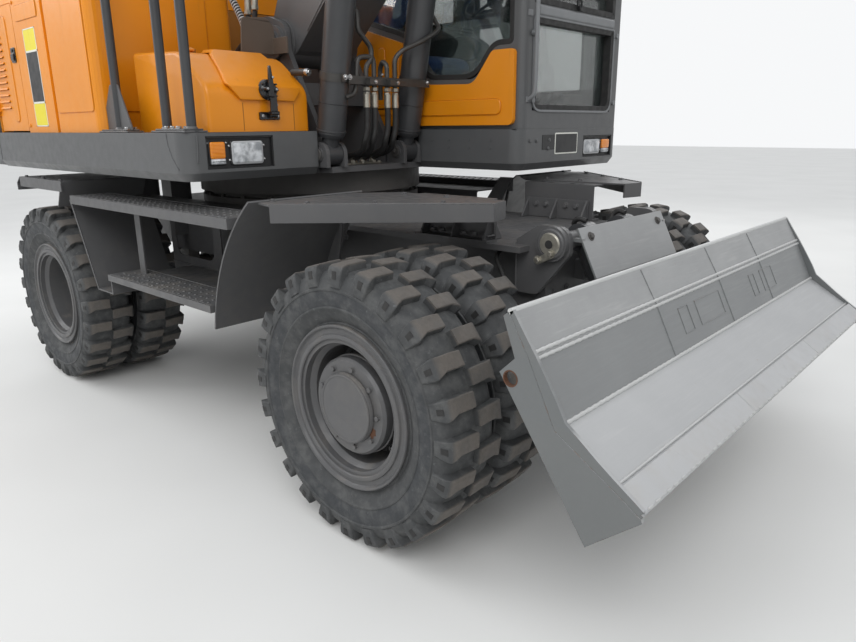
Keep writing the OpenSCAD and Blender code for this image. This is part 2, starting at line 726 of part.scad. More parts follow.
module upper_frame() color(dark) place() {
    t = deck_t;
    top = deck_z + t;
    in = 60 + gap;
    rear_x = -1900;
    // Deck plate
    difference() {
        plate_z([
            [rear_x, -upper_half + in], [deck_front_x - in - 20, -upper_half + in],
            [deck_front_x - in, -upper_half + in + 20], [deck_front_x - in, -460], [bay_x, -440],
            [bay_x, bay_y1 + in], [cab_front_x - in - 20, bay_y1 + in],
            [cab_front_x - in, bay_y1 + in + 20], [cab_front_x - in, upper_half - in - 20],
            [cab_front_x - in - 20, upper_half - in], [rear_x, upper_half - in]
        ], deck_z, t);
        round_z(0, 0, 300, deck_z - 1, top + 1);
    }
    // Cover plates on their posts, level with the top of the skirts
    cover = upper_half - 12 - gap;
    front = deck_front_x - 12 - gap;
    plate_z([
        [deck_rear_x, -cover], [front - 63, -cover], [front - 19, -cover + 19],
        [front, -cover + 63], [front, -510],
        [-60, -510], [-60, -410], [-700, -410], [-700, -540], [deck_rear_x, -540]
    ], skirt_top - 12, 12);
    plate_z([
        [deck_rear_x, cover], [deck_rear_x, 540], [-700, 540], [-700, 230],
        [cab_rear_x - 20, 230], [cab_rear_x - 20, cover]
    ], skirt_top - 12, 12);
    for (x = [-1500, -880, -300, 260, 540])
        for (y = [-1120, -620])
            box([x, y, top - 1], [x + 60, y + 60, skirt_top - 11]);
    for (x = [-1500, -880, -480])
        for (y = [620, 1080])
            box([x, y, top - 1], [x + 60, y + 60, skirt_top - 11]);
    // Mounts under the cab
    for (x = [cab_rear_x + 90, cab_front_x - 110])
        for (y = [cab_y0 + 100, cab_y1 - 100])
            round_z(x, y, 40, top - 1, skirt_top);
    translate([0, boom_y, 0]) {
        // The frame's two long plates, which carry the boom foot
        both_sides() difference() {
            union() {
                plate_y(rounded([
                    [-960, top - 1], [595, top - 1], [585, 1480, 80], [350, 1900, 80], [345, 2030, 80],
                    [200, 2080, 60], [60, 2080, 60], [-140, 1760, 80], [-960, 1500]
                ]), bracket_y, 30);
                round_y(boom_foot.x, boom_foot.y, 85, bracket_y + 29, bracket_y + 52);
            }
            round_y(boom_foot.x, boom_foot.y, foot_pin_r + gap, bracket_y - 10, bracket_y + 60);
        }
        round_y(boom_foot.x, boom_foot.y, foot_pin_r, -bracket_y - 62, bracket_y + 62);
        both_sides() round_y(boom_foot.x, boom_foot.y, 60, bracket_y + 52 + gap, bracket_y + 62);
        // Valve block between the plates, where the hoses end
        box([manifold_x - 90, -bracket_y - 1, hose_top_z - 60], [manifold_x, bracket_y + 1, hose_top_z + 50]);
        // Lugs and pins of the boom cylinders
        both_sides() {
            for (y = [boom_cyl_y - 68, boom_cyl_y + 46])
                plate_y(rounded([
                    [boom_cyl_foot.x - 75, top - 1], [boom_cyl_foot.x + 60, top - 1],
                    [boom_cyl_foot.x + 60, boom_cyl_foot.y + 60, 58],
                    [boom_cyl_foot.x - 60, boom_cyl_foot.y + 60, 58]
                ]), y, 22);
            round_y(boom_cyl_foot.x, boom_cyl_foot.y, pin_r, boom_cyl_y - 74, boom_cyl_y + 74);
        }
    }
}

// Section of the skirt: distance outwards, height
function skirt_section() = [
    [-60, deck_z], [-26, deck_z], [0, deck_z + 36], [0, skirt_top], [-12, skirt_top],
    [-12, deck_z + 42], [-32, deck_z + 12], [-60, deck_z + 12]
];

// Skirt along a straight stretch from p to q, outside on the right-hand side
module skirt_run(p, q) {
    translate([p.x, p.y, 0]) rotate(direction(p, q)) rotate([90, 0, 90])
        linear_extrude(norm(q - p))
            polygon([for (s = skirt_section()) [-s[0], s[1]]]);
}

module skirt_corner(c, r, from) {
    translate([c.x, c.y, 0]) rotate(from) rotate_extrude(angle = 90)
        polygon([for (s = skirt_section()) [r + s[0], s[1]]]);
}

module deck_skirts() color(dark) place() {
    r = 75;
    q = 62;
    h = upper_half;
    x0 = deck_rear_x;
    difference() {
        union() {
            skirt_run([x0, -h], [deck_front_x - r, -h]);
            skirt_corner([deck_front_x - r, -h + r], r, -90);
            skirt_run([deck_front_x, -h + r], [deck_front_x, -510]);
            skirt_run([cab_front_x, bay_y1 + q], [cab_front_x, h - q]);
            skirt_corner([cab_front_x - q, bay_y1 + q], q, -90);
            skirt_run([bay_x + gap, bay_y1], [cab_front_x - q, bay_y1]);
            skirt_corner([cab_front_x - q, h - q], q, 0);
            skirt_run([cab_front_x - q, h], [x0, h]);
        }
        for (w = lamp_windows)
            box([w[0] - 20, w[1], w[3]], [w[0] + 1, w[2], w[4]]);
    }
}

module counterweight() color(dark) place() difference() {
    intersection() {
        rotate_extrude($fn = 96)
            polygon([
                [0, deck_z + deck_t + gap], [tail_r - 110, deck_z + deck_t + gap], [tail_r - 30, 1400],
                [tail_r, 1520], [tail_r, tail_top - 150], [tail_r - 60, tail_top - 40],
                [tail_r - 130, tail_top], [0, tail_top]
            ]);
        box([-2600, -upper_half + 10, 1300], [deck_rear_x - gap, upper_half - 10, 2500]);
    }
    box([-1750, -700, 1300], [-1500, 700, 2500]);
}

module hood() color(orange) place() {
    under = tail_top + gap;
    half = upper_half - 30;
    difference() {
        intersection() {
            plate_y([
                [-1820, under], [deck_rear_x + 2, under], [deck_rear_x + 2, panel_top], [-690, panel_top],
                [-690, hood_top - 40], [-760, hood_top], [-1600, hood_top], [-1760, hood_top - 40],
                [-1820, tail_top + 60]
            ], -half, 2 * half);
            plate_x(rounded([
                [-half, panel_top - 10], [half, panel_top - 10], [half, hood_top, 110], [-half, hood_top, 110]
            ]), -1830, 1150);
        }
        // Air slots
        for (x = [-1500 : 70 : -940])
            box([x, -620, hood_top - 22], [x + 32, 620, hood_top + 1]);
    }
}

module engine_block() color(dark) place() {
    floor_z = deck_z + deck_t + gap;
    box([-1560, -520, floor_z + 20], [-1000, 520, 2100]);
    both_sides() box([-1500, 380, floor_z], [-1060, 500, floor_z + 21]);
}

module fuel_tank() color(orange) place() {
    plate_z(rounded([
        [-680, -1195, 40], [-135, -1195, 50], [-135, -402, 30], [-680, -402, 20]
    ]), skirt_top + gap, 800);
    round_z(-300, -900, 70, skirt_top + 790, skirt_top + 825);
    round_z(-300, -900, 50, skirt_top + 820, skirt_top + 850);
}

module side_panels() color(orange) place() {
    t = 30;
    z0 = skirt_top + gap;
    z1 = panel_top - gap;
    both_sides() {
        box([-1108, panel_y - t, z0], [-684, panel_y, z1]);
        // Rear post with the hinge pins of the side door
        box([deck_rear_x, panel_y - 60, z0], [-1580, panel_y, z1]);
        for (z = side_hinge_z)
            hinge_pin(side_hinge, z, [[-1594, panel_y - 5], [-1568, panel_y + 17]]);
    }
    box([-684, 300, z0], [-654, panel_y, z1]);
}

module toolbox() color(orange) place() {
    difference() {
        plate_y(rounded([
            [0, skirt_top + gap], [640, skirt_top + gap], [640, 1690, 30], [430, 1850, 60], [0, 1870, 40]
        ]), -1060, 554);
        box([20, -1040, 1530], [620, -526, 1690]);
        box([20, -1040, 1689], [420, -526, 1830]);
        plate_y([[400, 1680], [700, 1620], [700, 1900], [400, 1900]], -960, 360);
    }
    for (y = [-940, -650]) {
        box([lid_pin.x - 8, y - 30, 1848], [lid_pin.x + 4, y - 14, lid_pin.y + 6]);
        box([lid_pin.x - 8, y + 14, 1848], [lid_pin.x + 4, y + 30, lid_pin.y + 6]);
        round_y(lid_pin.x, lid_pin.y, 5, y - 30, y + 30);
    }
}

module toolbox_lid() color(orange) place() {
    plate_y(strip([[641, 1590], [641, 1691], [431, 1851.5], [342, 1855.6]], 16), -1000, 440);
    for (y = [-940, -650]) difference() {
        round_y(lid_pin.x, lid_pin.y, 11, y - 12, y + 12);
        round_y(lid_pin.x, lid_pin.y, 5 + gap, y - 13, y + 13);
    }
    for (y = [-940, -650]) difference() {
        box([lid_pin.x, y - 12, 1860], [345, y + 12, 1872]);
        round_y(lid_pin.x, lid_pin.y, 5 + gap, y - 13, y + 13);
    }
}

module handrails() color(dark) place() {
    r = 21;
    bend = 90;
    foot = skirt_top + gap;
    // Posts: place along X, height and direction of the bend at the top
    posts = [[-16, 2250, -1], [447, 2560, 1], [655, 2560, -1]];
    for (p = posts) {
        round_z(p[0], rail_y, r, foot, p[1] - bend);
        round_z(p[0], rail_y, 40, foot, foot + 14);
        translate([p[0] + p[2] * bend, rail_y, p[1] - bend]) rotate([90, 0, 0])
            rotate(p[2] > 0 ? 90 : 0) rotate_extrude(angle = 90) translate([bend, 0]) circle(r);
    }
    box([420, rail_y - 45, foot], [668, rail_y + 45, foot + 10]);
    round_x(rail_y, 2560, r, 447 + bend, 655 - bend);
    round_x(rail_y, 2250, r, -135 + gap, -16 - bend);
}

module side_door() {
    t = 30;
    difference() {
        box([-1560, panel_y - t, skirt_top + 10], [-1114, panel_y, panel_top - 40]);
        for (z = [1640 : 36 : 2040])
            box([-1520, panel_y - t - 1, z], [-1350, panel_y + 1, z + 16]);
    }
    for (z = side_hinge_z)
        hinge_tube(side_hinge, z, [[-1576, panel_y - 5], [-1540, panel_y + 17]]);
}

module side_door_right() color(orange) place() mirror([0, 1, 0]) side_door();

module side_door_left() color(orange) place() side_door();

// Cab

module cab_frame() color(dark) place() {
    difference() {
        intersection() {
            plate_z(rounded([
                [cab_rear_x, cab_y0, 30], [cab_front_x, cab_y0, 38], [cab_front_x, cab_y1, 38],
                [cab_rear_x, cab_y1, 30]
            ]), cab_floor, cab_top - cab_floor);
            plate_y(rounded([
                [cab_rear_x, cab_floor], [cab_front_x, cab_floor], [cab_front_x, 3040],
                [cab_front_x - 70, cab_top, 60], [cab_rear_x, cab_top, 60]
            ]), cab_y0, cab_y1 - cab_y0);
        }
        box([cab_rear_x + cab_t, cab_y0 + cab_t, cab_floor + 40], [cab_front_x - cab_t, cab_y1 - cab_t, cab_top - 60]);
        // Front: lower and upper window
        box([cab_front_x - 60, 300, 1590], [cab_front_x + 1, 1100, 2030]);
        box([cab_front_x - 60, 300, 2090], [cab_front_x + 1, 1100, 2980]);
        // Right side: big window
        plate_y(rounded(side_window()), cab_y0 - 1, cab_t + 2);
        box([cab_rear_x + 80, cab_y0 - 1, 2180], [180, cab_y0 + cab_t + 1, 2980]);
        // Rear window
        box([cab_rear_x - 1, cab_y0 + 120, 2250], [cab_rear_x + cab_t + 1, cab_y1 - 120, 2950]);
        // Doorway on the left and the window behind it
        box([250, cab_y1 - cab_t - 1, cab_floor + 60], [1270, cab_y1 + 1, 2990]);
        box([cab_rear_x + 80, cab_y1 - cab_t - 1, 2180], [180, cab_y1 + 1, 2980]);
    }
    for (z = door_hinge_z)
        hinge_pin(door_hinge, z, [[226, cab_y1 - 1], [254, cab_y1 + 18]]);
}

function side_window() = [
    [277, 2087, 30], [613, 1986, 60], [775, 1760, 60], [1100, 1749, 80], [1225, 1903, 40], [1340, 1903, 30],
    [1340, 2980, 60], [277, 2980, 60]
];

module cab_lower_panels() color(orange) place() {
    plate_y(rounded([
        [cab_rear_x + 60, cab_floor + 20], [1360, cab_floor + 20, 30], [1360, 1880, 20], [1225, 1880, 40],
        [1105, 1725, 80], [760, 1735, 80], [600, 1960, 60], [277, 2060], [cab_rear_x + 60, 2140]
    ]), cab_y0 - 24, 24 - gap);
}

module cab_panes() color(glass) place() {
    g = glass_t;
    y = cab_y0 + cab_t + gap;
    plate_y(rounded(grown(side_window(), 12)), y, g);
    box([cab_rear_x + 70, y, 2170], [190, y + g, 2990]);
    x = cab_front_x - cab_t - gap - g;
    box([x, 290, 1580], [x + g, 1110, 2040]);
    box([x, 290, 2080], [x + g, 1110, 2990]);
    box([cab_rear_x + cab_t + gap, cab_y0 + 110, 2240], [cab_rear_x + cab_t + gap + g, cab_y1 - 110, 2960]);
    box([cab_rear_x + 70, cab_y1 - cab_t - gap - g, 2170], [190, cab_y1 - cab_t - gap, 2990]);
}

module operator_chair() color(black) place() {
    z = cab_floor + 40 + gap;
    box([120, 520, z], [420, 880, z + 260]);
    plate_y(rounded([[60, z + 260], [560, z + 260, 40], [580, z + 400, 60], [160, z + 380], [60, z + 380]]), 460, 480);
    plate_y(rounded([[60, z + 300], [180, z + 380], [60, z + 1050, 50], [-60, z + 1040, 50]]), 460, 480);
    for (y = [400, 920]) box([80, y, z + 430], [480, y + 80, z + 520]);
    for (y = [400, 920]) box([100, y, z + 380], [160, y + 80, z + 431]);
    box([60, 440, z + 380], [160, 960, z + 430]);
}

module cab_controls() color(black) place() {
    z = cab_floor + 40 + gap;
    box([980, 640, z], [1100, 760, z + 300]);
    at_pin([1040, z + 280], 115) round_x(700, 0, 30, 0, 420);
    at_pin([1040, z + 280], 115) translate([420, 700, 0]) rotate([0, 90, 0])
        difference() {
            cylinder(r = 200, h = 26);
            translate([0, 0, -1]) cylinder(r = 174, h = 28);
        }
    at_pin([1040, z + 280], 115) box([420, 515, -14], [440, 885, 14]);
    for (y = [440, 960]) round_z(440, y, 16, z + 520 + gap, z + 640);
}

module cab_door() color(dark) place() {
    y0 = cab_y1 - cab_t;
    difference() {
        box([258, y0, cab_floor + 68], [1262, cab_y1, 2982]);
        box([338, y0 - 1, 1700], [1182, cab_y1 + 1, 2160]);
        box([338, y0 - 1, 2230], [1182, cab_y1 + 1, 2900]);
    }
    for (z = [[1700, 2160], [2230, 2900]])
        box([337, y0 + 15, z[0] - 1], [1183, y0 + 15 + glass_t, z[1] + 1]);
    box([1120, cab_y1 - 1, 2170], [1160, cab_y1 + 40, 2215]);
    for (z = door_hinge_z) {
        hinge_tube(door_hinge, z, [[246, cab_y1 + 3], [290, cab_y1 + 18]]);
        box([262, cab_y1 - 1, z - 26], [290, cab_y1 + 4, z + 26]);
    }
}

// Lamps, mirrors and exhaust

module headlamps() color(silver) place() {
    for (w = lamp_windows) {
        y0 = w[1];
        y1 = w[2];
        box([w[0] - 52, y0 - 8, w[3] - 3], [w[0] - 12 - gap, y1 + 8, w[4] + 3]);
        for (k = w[5])
            box([w[0] - 13, y0 + k[0], w[3] + 18], [w[0] - 1, y0 + k[1], w[4] - 24]);
    }
    // Roof lamps
    for (y = [cab_y0 + 60, cab_y1 - 220])
        box([1230, y, cab_top + gap], [1290, y + 160, cab_top + 90]);
}

module mirrors() color(black) place() {
    // Left mirror on the cab
    translate([cab_front_x + gap, cab_y1 - 80, 0]) {
        box([0, 0, 2500], [60, 30, 2530]);
        round_z(45, 15, 12, 2200, 2800);
        box([20, 50, 2350], [50, 230, 2700]);
        box([30, 10, 2440], [50, 60, 2470]);
    }
    // Right mirror on the handrail
    translate([655 + 21 + gap, rail_y, 0]) {
        box([0, -15, 2400], [50, 15, 2430]);
        box([20, -180, 2250], [50, 30, 2600]);
    }
}

module exhaust() color(black) place() difference() {
    union() {
        round_z(-1300, 700, 60, hood_top + gap, hood_top + 200);
        round_z(-1300, 700, 85, hood_top + gap, hood_top + 18);
        translate([-1390, 700, hood_top + 200]) rotate([90, 0, 0])
            rotate_extrude(angle = 60) translate([90, 0]) circle(60);
    }
    round_z(-1300, 700, 52, hood_top + 30, hood_top + 202);
}

// Boom, arm and bucket

module boom() color(dark) place() translate([0, boom_y, 0]) at_pin(boom_foot, boom_angle) {
    lower = boom_cyl_on_boom;
    lug = arm_cyl_on_boom;
    w = boom_half;
    box_end = boom_len - 330;
    difference() {
        union() {
            plate_y(rounded([
                [-70, 100, 60], [1300, 860, 350], [1750, 960, 300], [2300, 820, 500], [box_end, 130],
                [box_end, -100], [2600, 330, 500], [1950, 420, 400], [1500, 250, 300], [700, -14, 400],
                [80, -107, 60], [-60, -110, 60]
            ], 6), -w, 2 * w);
            round_y(0, 0, 118, -bracket_y + 5, bracket_y - 5);
            round_y(lower.x, lower.y, 95, -boom_cyl_y + 50, boom_cyl_y - 50);
            // Lugs of the arm cylinder
            both_sides() plate_y(rounded([
                [1900, 800], [2500, 640], [2230, lug.y + 60, 60], [2080, lug.y + 65, 60]
            ]), lug_in, 30);
        }
        round_y(0, 0, foot_pin_r + gap, -250, 250);
        round_y(lug.x, lug.y, pin_r + gap, -lug_in - 40, lug_in + 40);
    }
    round_y(lug.x, lug.y, pin_r, -lug_in - 36, lug_in + 36);
    // Fork at the tip
    both_sides() difference() {
        plate_y(rounded([
            [boom_len - 700, 200], [boom_len - 700, -30], [boom_len + 90, -100, 90],
            [boom_len + 100, 95, 90]
        ]), w - 30, 30);
        round_y(boom_len, 0, foot_pin_r + gap, w - 40, w + 5);
    }
    round_y(boom_len, 0, foot_pin_r, -w - 12, w + 12);
}

module boom_barrels() color(dark) place() translate([0, boom_y, 0]) both_sides()
    translate([0, boom_cyl_y, 0]) at_pin(boom_cyl_foot, boom_cyl_angle) difference() {
        union() {
            round_y(0, 0, 56, -43, 43);
            translate([30, 0, 0]) rotate([0, 90, 0]) cylinder(r1 = 40, r2 = 46, h = 60);
            translate([86, 0, 0]) rotate([0, 90, 0]) cylinder(r1 = 62, r2 = boom_cyl_r, h = 18);
            round_x(0, 0, boom_cyl_r, 103, 1290);
            round_x(0, 0, boom_cyl_r + 5, 1250, 1300);
        }
        round_y(0, 0, pin_r + gap, -50, 50);
        round_x(0, 0, 45 + gap, 200, 1310);
    }

boom_cyl_top = boom_foot + turn(boom_angle, boom_cyl_on_boom);
boom_cyl_angle = direction(boom_cyl_foot, boom_cyl_top);
boom_cyl_reach = norm(boom_cyl_top - boom_cyl_foot);

module boom_rods() color(chrome) place() translate([0, boom_y, 0]) both_sides()
    translate([0, boom_cyl_y, 0]) at_pin(boom_cyl_foot, boom_cyl_angle) {
        round_x(0, 0, 45, 640, boom_cyl_reach - 40);
        round_y(boom_cyl_reach, 0, 75, -38, 38);
    }

boom_tip = boom_foot + turn(boom_angle, [boom_len, 0]);
arm_cyl_foot = boom_foot + turn(boom_angle, arm_cyl_on_boom);
arm_cyl_end = boom_tip + turn(arm_angle, arm_cyl_on_arm);
arm_cyl_angle = direction(arm_cyl_foot, arm_cyl_end);
arm_cyl_reach = norm(arm_cyl_end - arm_cyl_foot);
bucket_pin = boom_tip + turn(arm_angle, [arm_len, 0]);

module arm() color(dark) place() translate([0, boom_y, 0]) at_pin(boom_tip, arm_angle) {
    w = arm_half;
    ear = arm_cyl_on_arm;
    lug = bucket_cyl_on_arm;
    difference() {
        union() {
            plate_y(rounded([
                [-150, -90, 60], [-60, -140, 80], [700, -120, 200], [arm_len, -70, 68],
                [arm_len + 78, 0, 40], [arm_len, 72, 60], [1400, 110, 200], [600, 210, 300],
                [120, 260, 100], [-150, 130, 60]
            ]), -w, 2 * w);
            round_y(arm_len, 0, 75, -w - 3, w + 3);
            // Lugs of the bucket cylinder
            both_sides() plate_y(rounded([
                [100, 200], [700, 150], [400, lug.y + 55, 50], [260, lug.y + 55, 50]
            ]), lug_in - 10, 26);
            // Ears of the arm cylinder
            both_sides() plate_y(rounded([
                [-100, -80, 40], [250, 200, 60], [ear.x + 50, ear.y + 75, 60],
                [ear.x - 65, ear.y + 30, 60], [ear.x - 50, ear.y - 60, 60]
            ]), 62, 30);
        }
        round_y(0, 0, foot_pin_r + gap, -w - 20, w + 20);
        round_y(rocker_on_arm.x, rocker_on_arm.y, pin_r + gap, -w - 20, w + 20);
        round_y(arm_len, 0, 40 + gap, -w - 20, w + 20);
        both_sides() round_y(lug.x, lug.y, pin_r + gap, lug_in - 20, lug_in + 20);
    }
    round_y(lug.x, lug.y, pin_r, -lug_in - 24, lug_in + 24);
}

module arm_barrel() color(dark) place() translate([0, boom_y, 0])
    at_pin(arm_cyl_foot, arm_cyl_angle) difference() {
        union() {
            round_y(0, 0, 60, -lug_in + 4, lug_in - 4);
            round_x(0, 0, 70, 40, 1600);
            round_x(0, 0, 76, 1560, 1615);
        }
        round_y(0, 0, pin_r + gap, -lug_in, lug_in);
        round_x(0, 0, 42 + gap, 200, 1620);
    }

module arm_rod() color(chrome) place() translate([0, boom_y, 0])
    at_pin(arm_cyl_foot, arm_cyl_angle) difference() {
        union() {
            round_x(0, 0, 42, 920, arm_cyl_reach - 40);
            round_y(arm_cyl_reach, 0, 60, -56, 56);
        }
        round_y(arm_cyl_reach, 0, pin_r, -60, 60);
    }

bucket_cyl_foot = boom_tip + turn(arm_angle, bucket_cyl_on_arm);
rocker_pin = boom_tip + turn(arm_angle, rocker_on_arm);
rocker_tip = boom_tip + turn(arm_angle, rocker_tip_on_arm);
bucket_cyl_angle = direction(bucket_cyl_foot, rocker_tip);
bucket_cyl_reach = norm(rocker_tip - bucket_cyl_foot);
link_end = bucket_pin + turn(arm_angle, link_on_bucket);

module bucket_barrel() color(dark) place() translate([0, boom_y, 0])
    at_pin(bucket_cyl_foot, bucket_cyl_angle) difference() {
        union() {
            round_y(0, 0, 52, -lug_in + 14, lug_in - 14);
            round_x(0, 0, 60, 40, 1150);
            round_x(0, 0, 66, 1110, 1165);
        }
        round_y(0, 0, pin_r + gap, -lug_in, lug_in);
        round_x(0, 0, 38 + gap, 120, 1170);
    }

module bucket_rod() color(chrome) place() translate([0, boom_y, 0])
    at_pin(bucket_cyl_foot, bucket_cyl_angle) difference() {
        union() {
            round_x(0, 0, 38, 680, bucket_cyl_reach - 40);
            round_y(bucket_cyl_reach, 0, 52, -46, 46);
        }
        round_y(bucket_cyl_reach, 0, pin_r, -60, 60);
    }

module bucket_rocker() color(dark) place() translate([0, boom_y, 0]) {
    reach = norm(rocker_tip - rocker_pin);
    at_pin(rocker_pin, direction(rocker_pin, rocker_tip)) {
        both_sides() {
            difference() {
                plate_y(rounded([
                    [-60, -60, 58], [reach + 55, -55, 54], [reach + 55, 55, 54], [-60, 60, 58]
                ]), arm_half + 6, 26);
                round_y(0, 0, pin_r - 5, arm_half, arm_half + 40);
            }
            round_y(reach, 0, pin_r, 52, arm_half + 66);
        }
        round_y(0, 0, pin_r, -arm_half - 32, arm_half + 32);
    }
}

module bucket_link() color(dark) place() translate([0, boom_y, 0]) {
    reach = norm(link_end - rocker_tip);
    at_pin(rocker_tip, direction(rocker_tip, link_end)) {
        both_sides() difference() {
            plate_y(rounded([
                [-56, -56, 54], [reach + 56, -56, 54], [reach + 56, 56, 54], [-56, 56, 54]
            ]), arm_half + 36, 26);
            round_y(0, 0, pin_r + gap, arm_half, arm_half + 80);
            round_y(reach, 0, pin_r + gap, arm_half, arm_half + 80);
        }
        round_y(reach / 2, 0, 25, -arm_half - 37, arm_half + 37);
    }
}

module bucket() color(dark) place() translate([0, boom_y, 0])
    at_pin(bucket_pin, arm_angle + bucket_angle) {
        t = 20;
        h = bucket_half;
        ear_y = arm_half + 68;
        // In this frame +X runs from the pin to the tips of the teeth
        wrap = [[-20, 175], [80, 560], [480, 620], [760, 240], [1150, 20]];
        plate_y(strip(wrap, t), -h, 2 * h);
        both_sides() plate_y([
            [-20, 175], [700, 60], [1150, 20], [760, 240], [480, 620], [80, 560]
        ], h - t, t);
        for (y = [-440, -220, 0, 220, 440])
            plate_y([[1100, 25], [1140, 50], [1290, 0], [1285, -10], [1120, 5]], y - 30, 60);
        // Ears that take the arm and the link
        e = turn(-bucket_angle, link_on_bucket);
        both_sides() difference() {
            plate_y(rounded([
                [-60, -60, 58], [62, -60, 58], [90, 200], [180, 570], [60, 560], [e.x, e.y + 60, 50],
                [e.x - 60, e.y, 50]
            ]), ear_y, 30);
            round_y(0, 0, 40 - 5, ear_y - 20, ear_y + 40);
            round_y(e.x, e.y, pin_r - 5, ear_y - 20, ear_y + 40);
        }
        round_y(0, 0, 40, -ear_y - 34, ear_y + 34);
        round_y(e.x, e.y, pin_r, -ear_y - 34, ear_y + 34);
    }

module boom_hoses() color(black) place() translate([0, boom_y, 0]) {
    bend = 110;
    top = hose_top_z - bend;
    for (y = [-105, -35, 35, 105]) {
        round_z(600, y, 16, deck_z + deck_t + gap, top);
        round_z(600, y, 22, 1400, 1470);
        translate([600 - bend, y, top]) rotate([90, 0, 0])
            rotate_extrude(angle = 90) translate([bend, 0]) circle(16);
        round_x(y, hose_top_z, 16, manifold_x + gap, 600 - bend);
        round_x(y, hose_top_z, 22, manifold_x + gap, manifold_x + 24);
    }
}

chassis_frame();
slew_ring_lower();
steps_right();
steps_left();
front_fender_right();
front_fender_left();
rear_fenders();
front_axle();
rear_axle();
driveline();
knuckle_right();
knuckle_left();
tie_rod();
rims_front_right();
rims_front_left();
rims_rear_right();
rims_rear_left();
tyres_front_right();
tyres_front_left();
tyres_rear_right();
tyres_rear_left();
blade_mouldboard();
blade_arms();
blade_cover();
blade_barrels();
blade_rods();
slew_ring_upper();
upper_frame();
deck_skirts();
counterweight();
hood();
engine_block();
fuel_tank();
side_panels();
toolbox();
toolbox_lid();
handrails();
side_door_right();
side_door_left();
cab_frame();
cab_lower_panels();
cab_panes();
operator_chair();
cab_controls();
cab_door();
headlamps();
mirrors();
exhaust();
boom();
boom_barrels();
boom_rods();
boom_hoses();
arm();
arm_barrel();
arm_rod();
bucket_barrel();
bucket_rod();
bucket_rocker();
bucket_link();
bucket();
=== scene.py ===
"""Looks of the wheeled excavator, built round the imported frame. Places are given in millimetres
from the slewing axis (X forward, Y left, Z up), and P() turns them into the row frame's metres."""

import math
import random

import bmesh
import bpy
from mathutils import Matrix, Vector


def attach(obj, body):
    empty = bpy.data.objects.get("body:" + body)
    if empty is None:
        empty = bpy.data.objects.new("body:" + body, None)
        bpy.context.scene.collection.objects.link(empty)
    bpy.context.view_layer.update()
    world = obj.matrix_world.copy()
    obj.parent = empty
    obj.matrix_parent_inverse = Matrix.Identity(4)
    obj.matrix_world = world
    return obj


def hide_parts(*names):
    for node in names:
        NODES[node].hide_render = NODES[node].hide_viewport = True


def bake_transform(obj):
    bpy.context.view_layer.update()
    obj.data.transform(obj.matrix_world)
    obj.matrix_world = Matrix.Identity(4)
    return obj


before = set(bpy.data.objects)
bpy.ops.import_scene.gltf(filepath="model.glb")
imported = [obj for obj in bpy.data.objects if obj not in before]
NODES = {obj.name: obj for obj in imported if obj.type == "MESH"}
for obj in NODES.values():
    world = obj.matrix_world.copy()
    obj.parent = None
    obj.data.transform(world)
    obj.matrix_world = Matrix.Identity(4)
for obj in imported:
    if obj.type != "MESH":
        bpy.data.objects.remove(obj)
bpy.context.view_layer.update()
SLEW_X = -1415.0
BOOM_Y = -155.0
BARREL_Y = (-427, 117)
BARREL_LEAN = 79.4
AXLE_Z = 535
random.seed(11)


def P(x, y, z):
    return Vector(((x + SLEW_X) / 1000, y / 1000, z / 1000))


# ---------------------------------------------------------------- camera and stage


# Camera: yaw, pitch and roll in degrees, place, lens and sensor in millimetres
TURNS = (132.378, 15.946, -0.49)
EYE = (3436.8, -2715.8, 1521.6)
LENS, SENSOR = 28.78, 36

# Lights: name, place, aim, size in metres, and watts
LIGHTS = (
    ("key", (4.5, -6.5, 7.5), (0, -0.5, 0.8), (6, 5), 350),
    ("fill", (-6.5, -4.0, 5.0), (-0.5, 0, 1.2), (5, 4), 170),
    ("back", (-2.0, 8.0, 6.5), (0, 0, 1.2), (6, 4), 150),
)
WORLD_STRENGTH = 1.12
FLOOR_SIZE = 90


def make_camera():
    yaw, pitch, roll = (math.radians(a) for a in TURNS)
    look = Vector(
        (
            math.cos(yaw) * math.cos(pitch),
            math.sin(yaw) * math.cos(pitch),
            -math.sin(pitch),
        )
    )
    level = Vector((math.sin(yaw), -math.cos(yaw), 0))
    above = level.cross(look)
    right = math.cos(roll) * level + math.sin(roll) * above
    up = -math.sin(roll) * level + math.cos(roll) * above
    place = P(*EYE)
    data = bpy.data.cameras.new("camera")
    data.sensor_width = SENSOR
    data.lens = LENS
    data.clip_end = 200
    cam = bpy.data.objects.new("camera", data)
    bpy.context.scene.collection.objects.link(cam)
    cam.matrix_world = Matrix(
        (
            (right.x, up.x, -look.x, place.x),
            (right.y, up.y, -look.y, place.y),
            (right.z, up.z, -look.z, place.z),
            (0, 0, 0, 1),
        )
    )
    bpy.context.scene.camera = cam


def area_light(name, at, towards, size, watts):
    data = bpy.data.lights.new(name, "AREA")
    data.shape = "RECTANGLE"
    data.size, data.size_y = size
    data.energy = watts
    o = bpy.data.objects.new(name, data)
    bpy.context.scene.collection.objects.link(o)
    o.location = at
    o.rotation_mode = "QUATERNION"
    o.rotation_quaternion = (Vector(towards) - Vector(at)).to_track_quat("-Z", "Y")


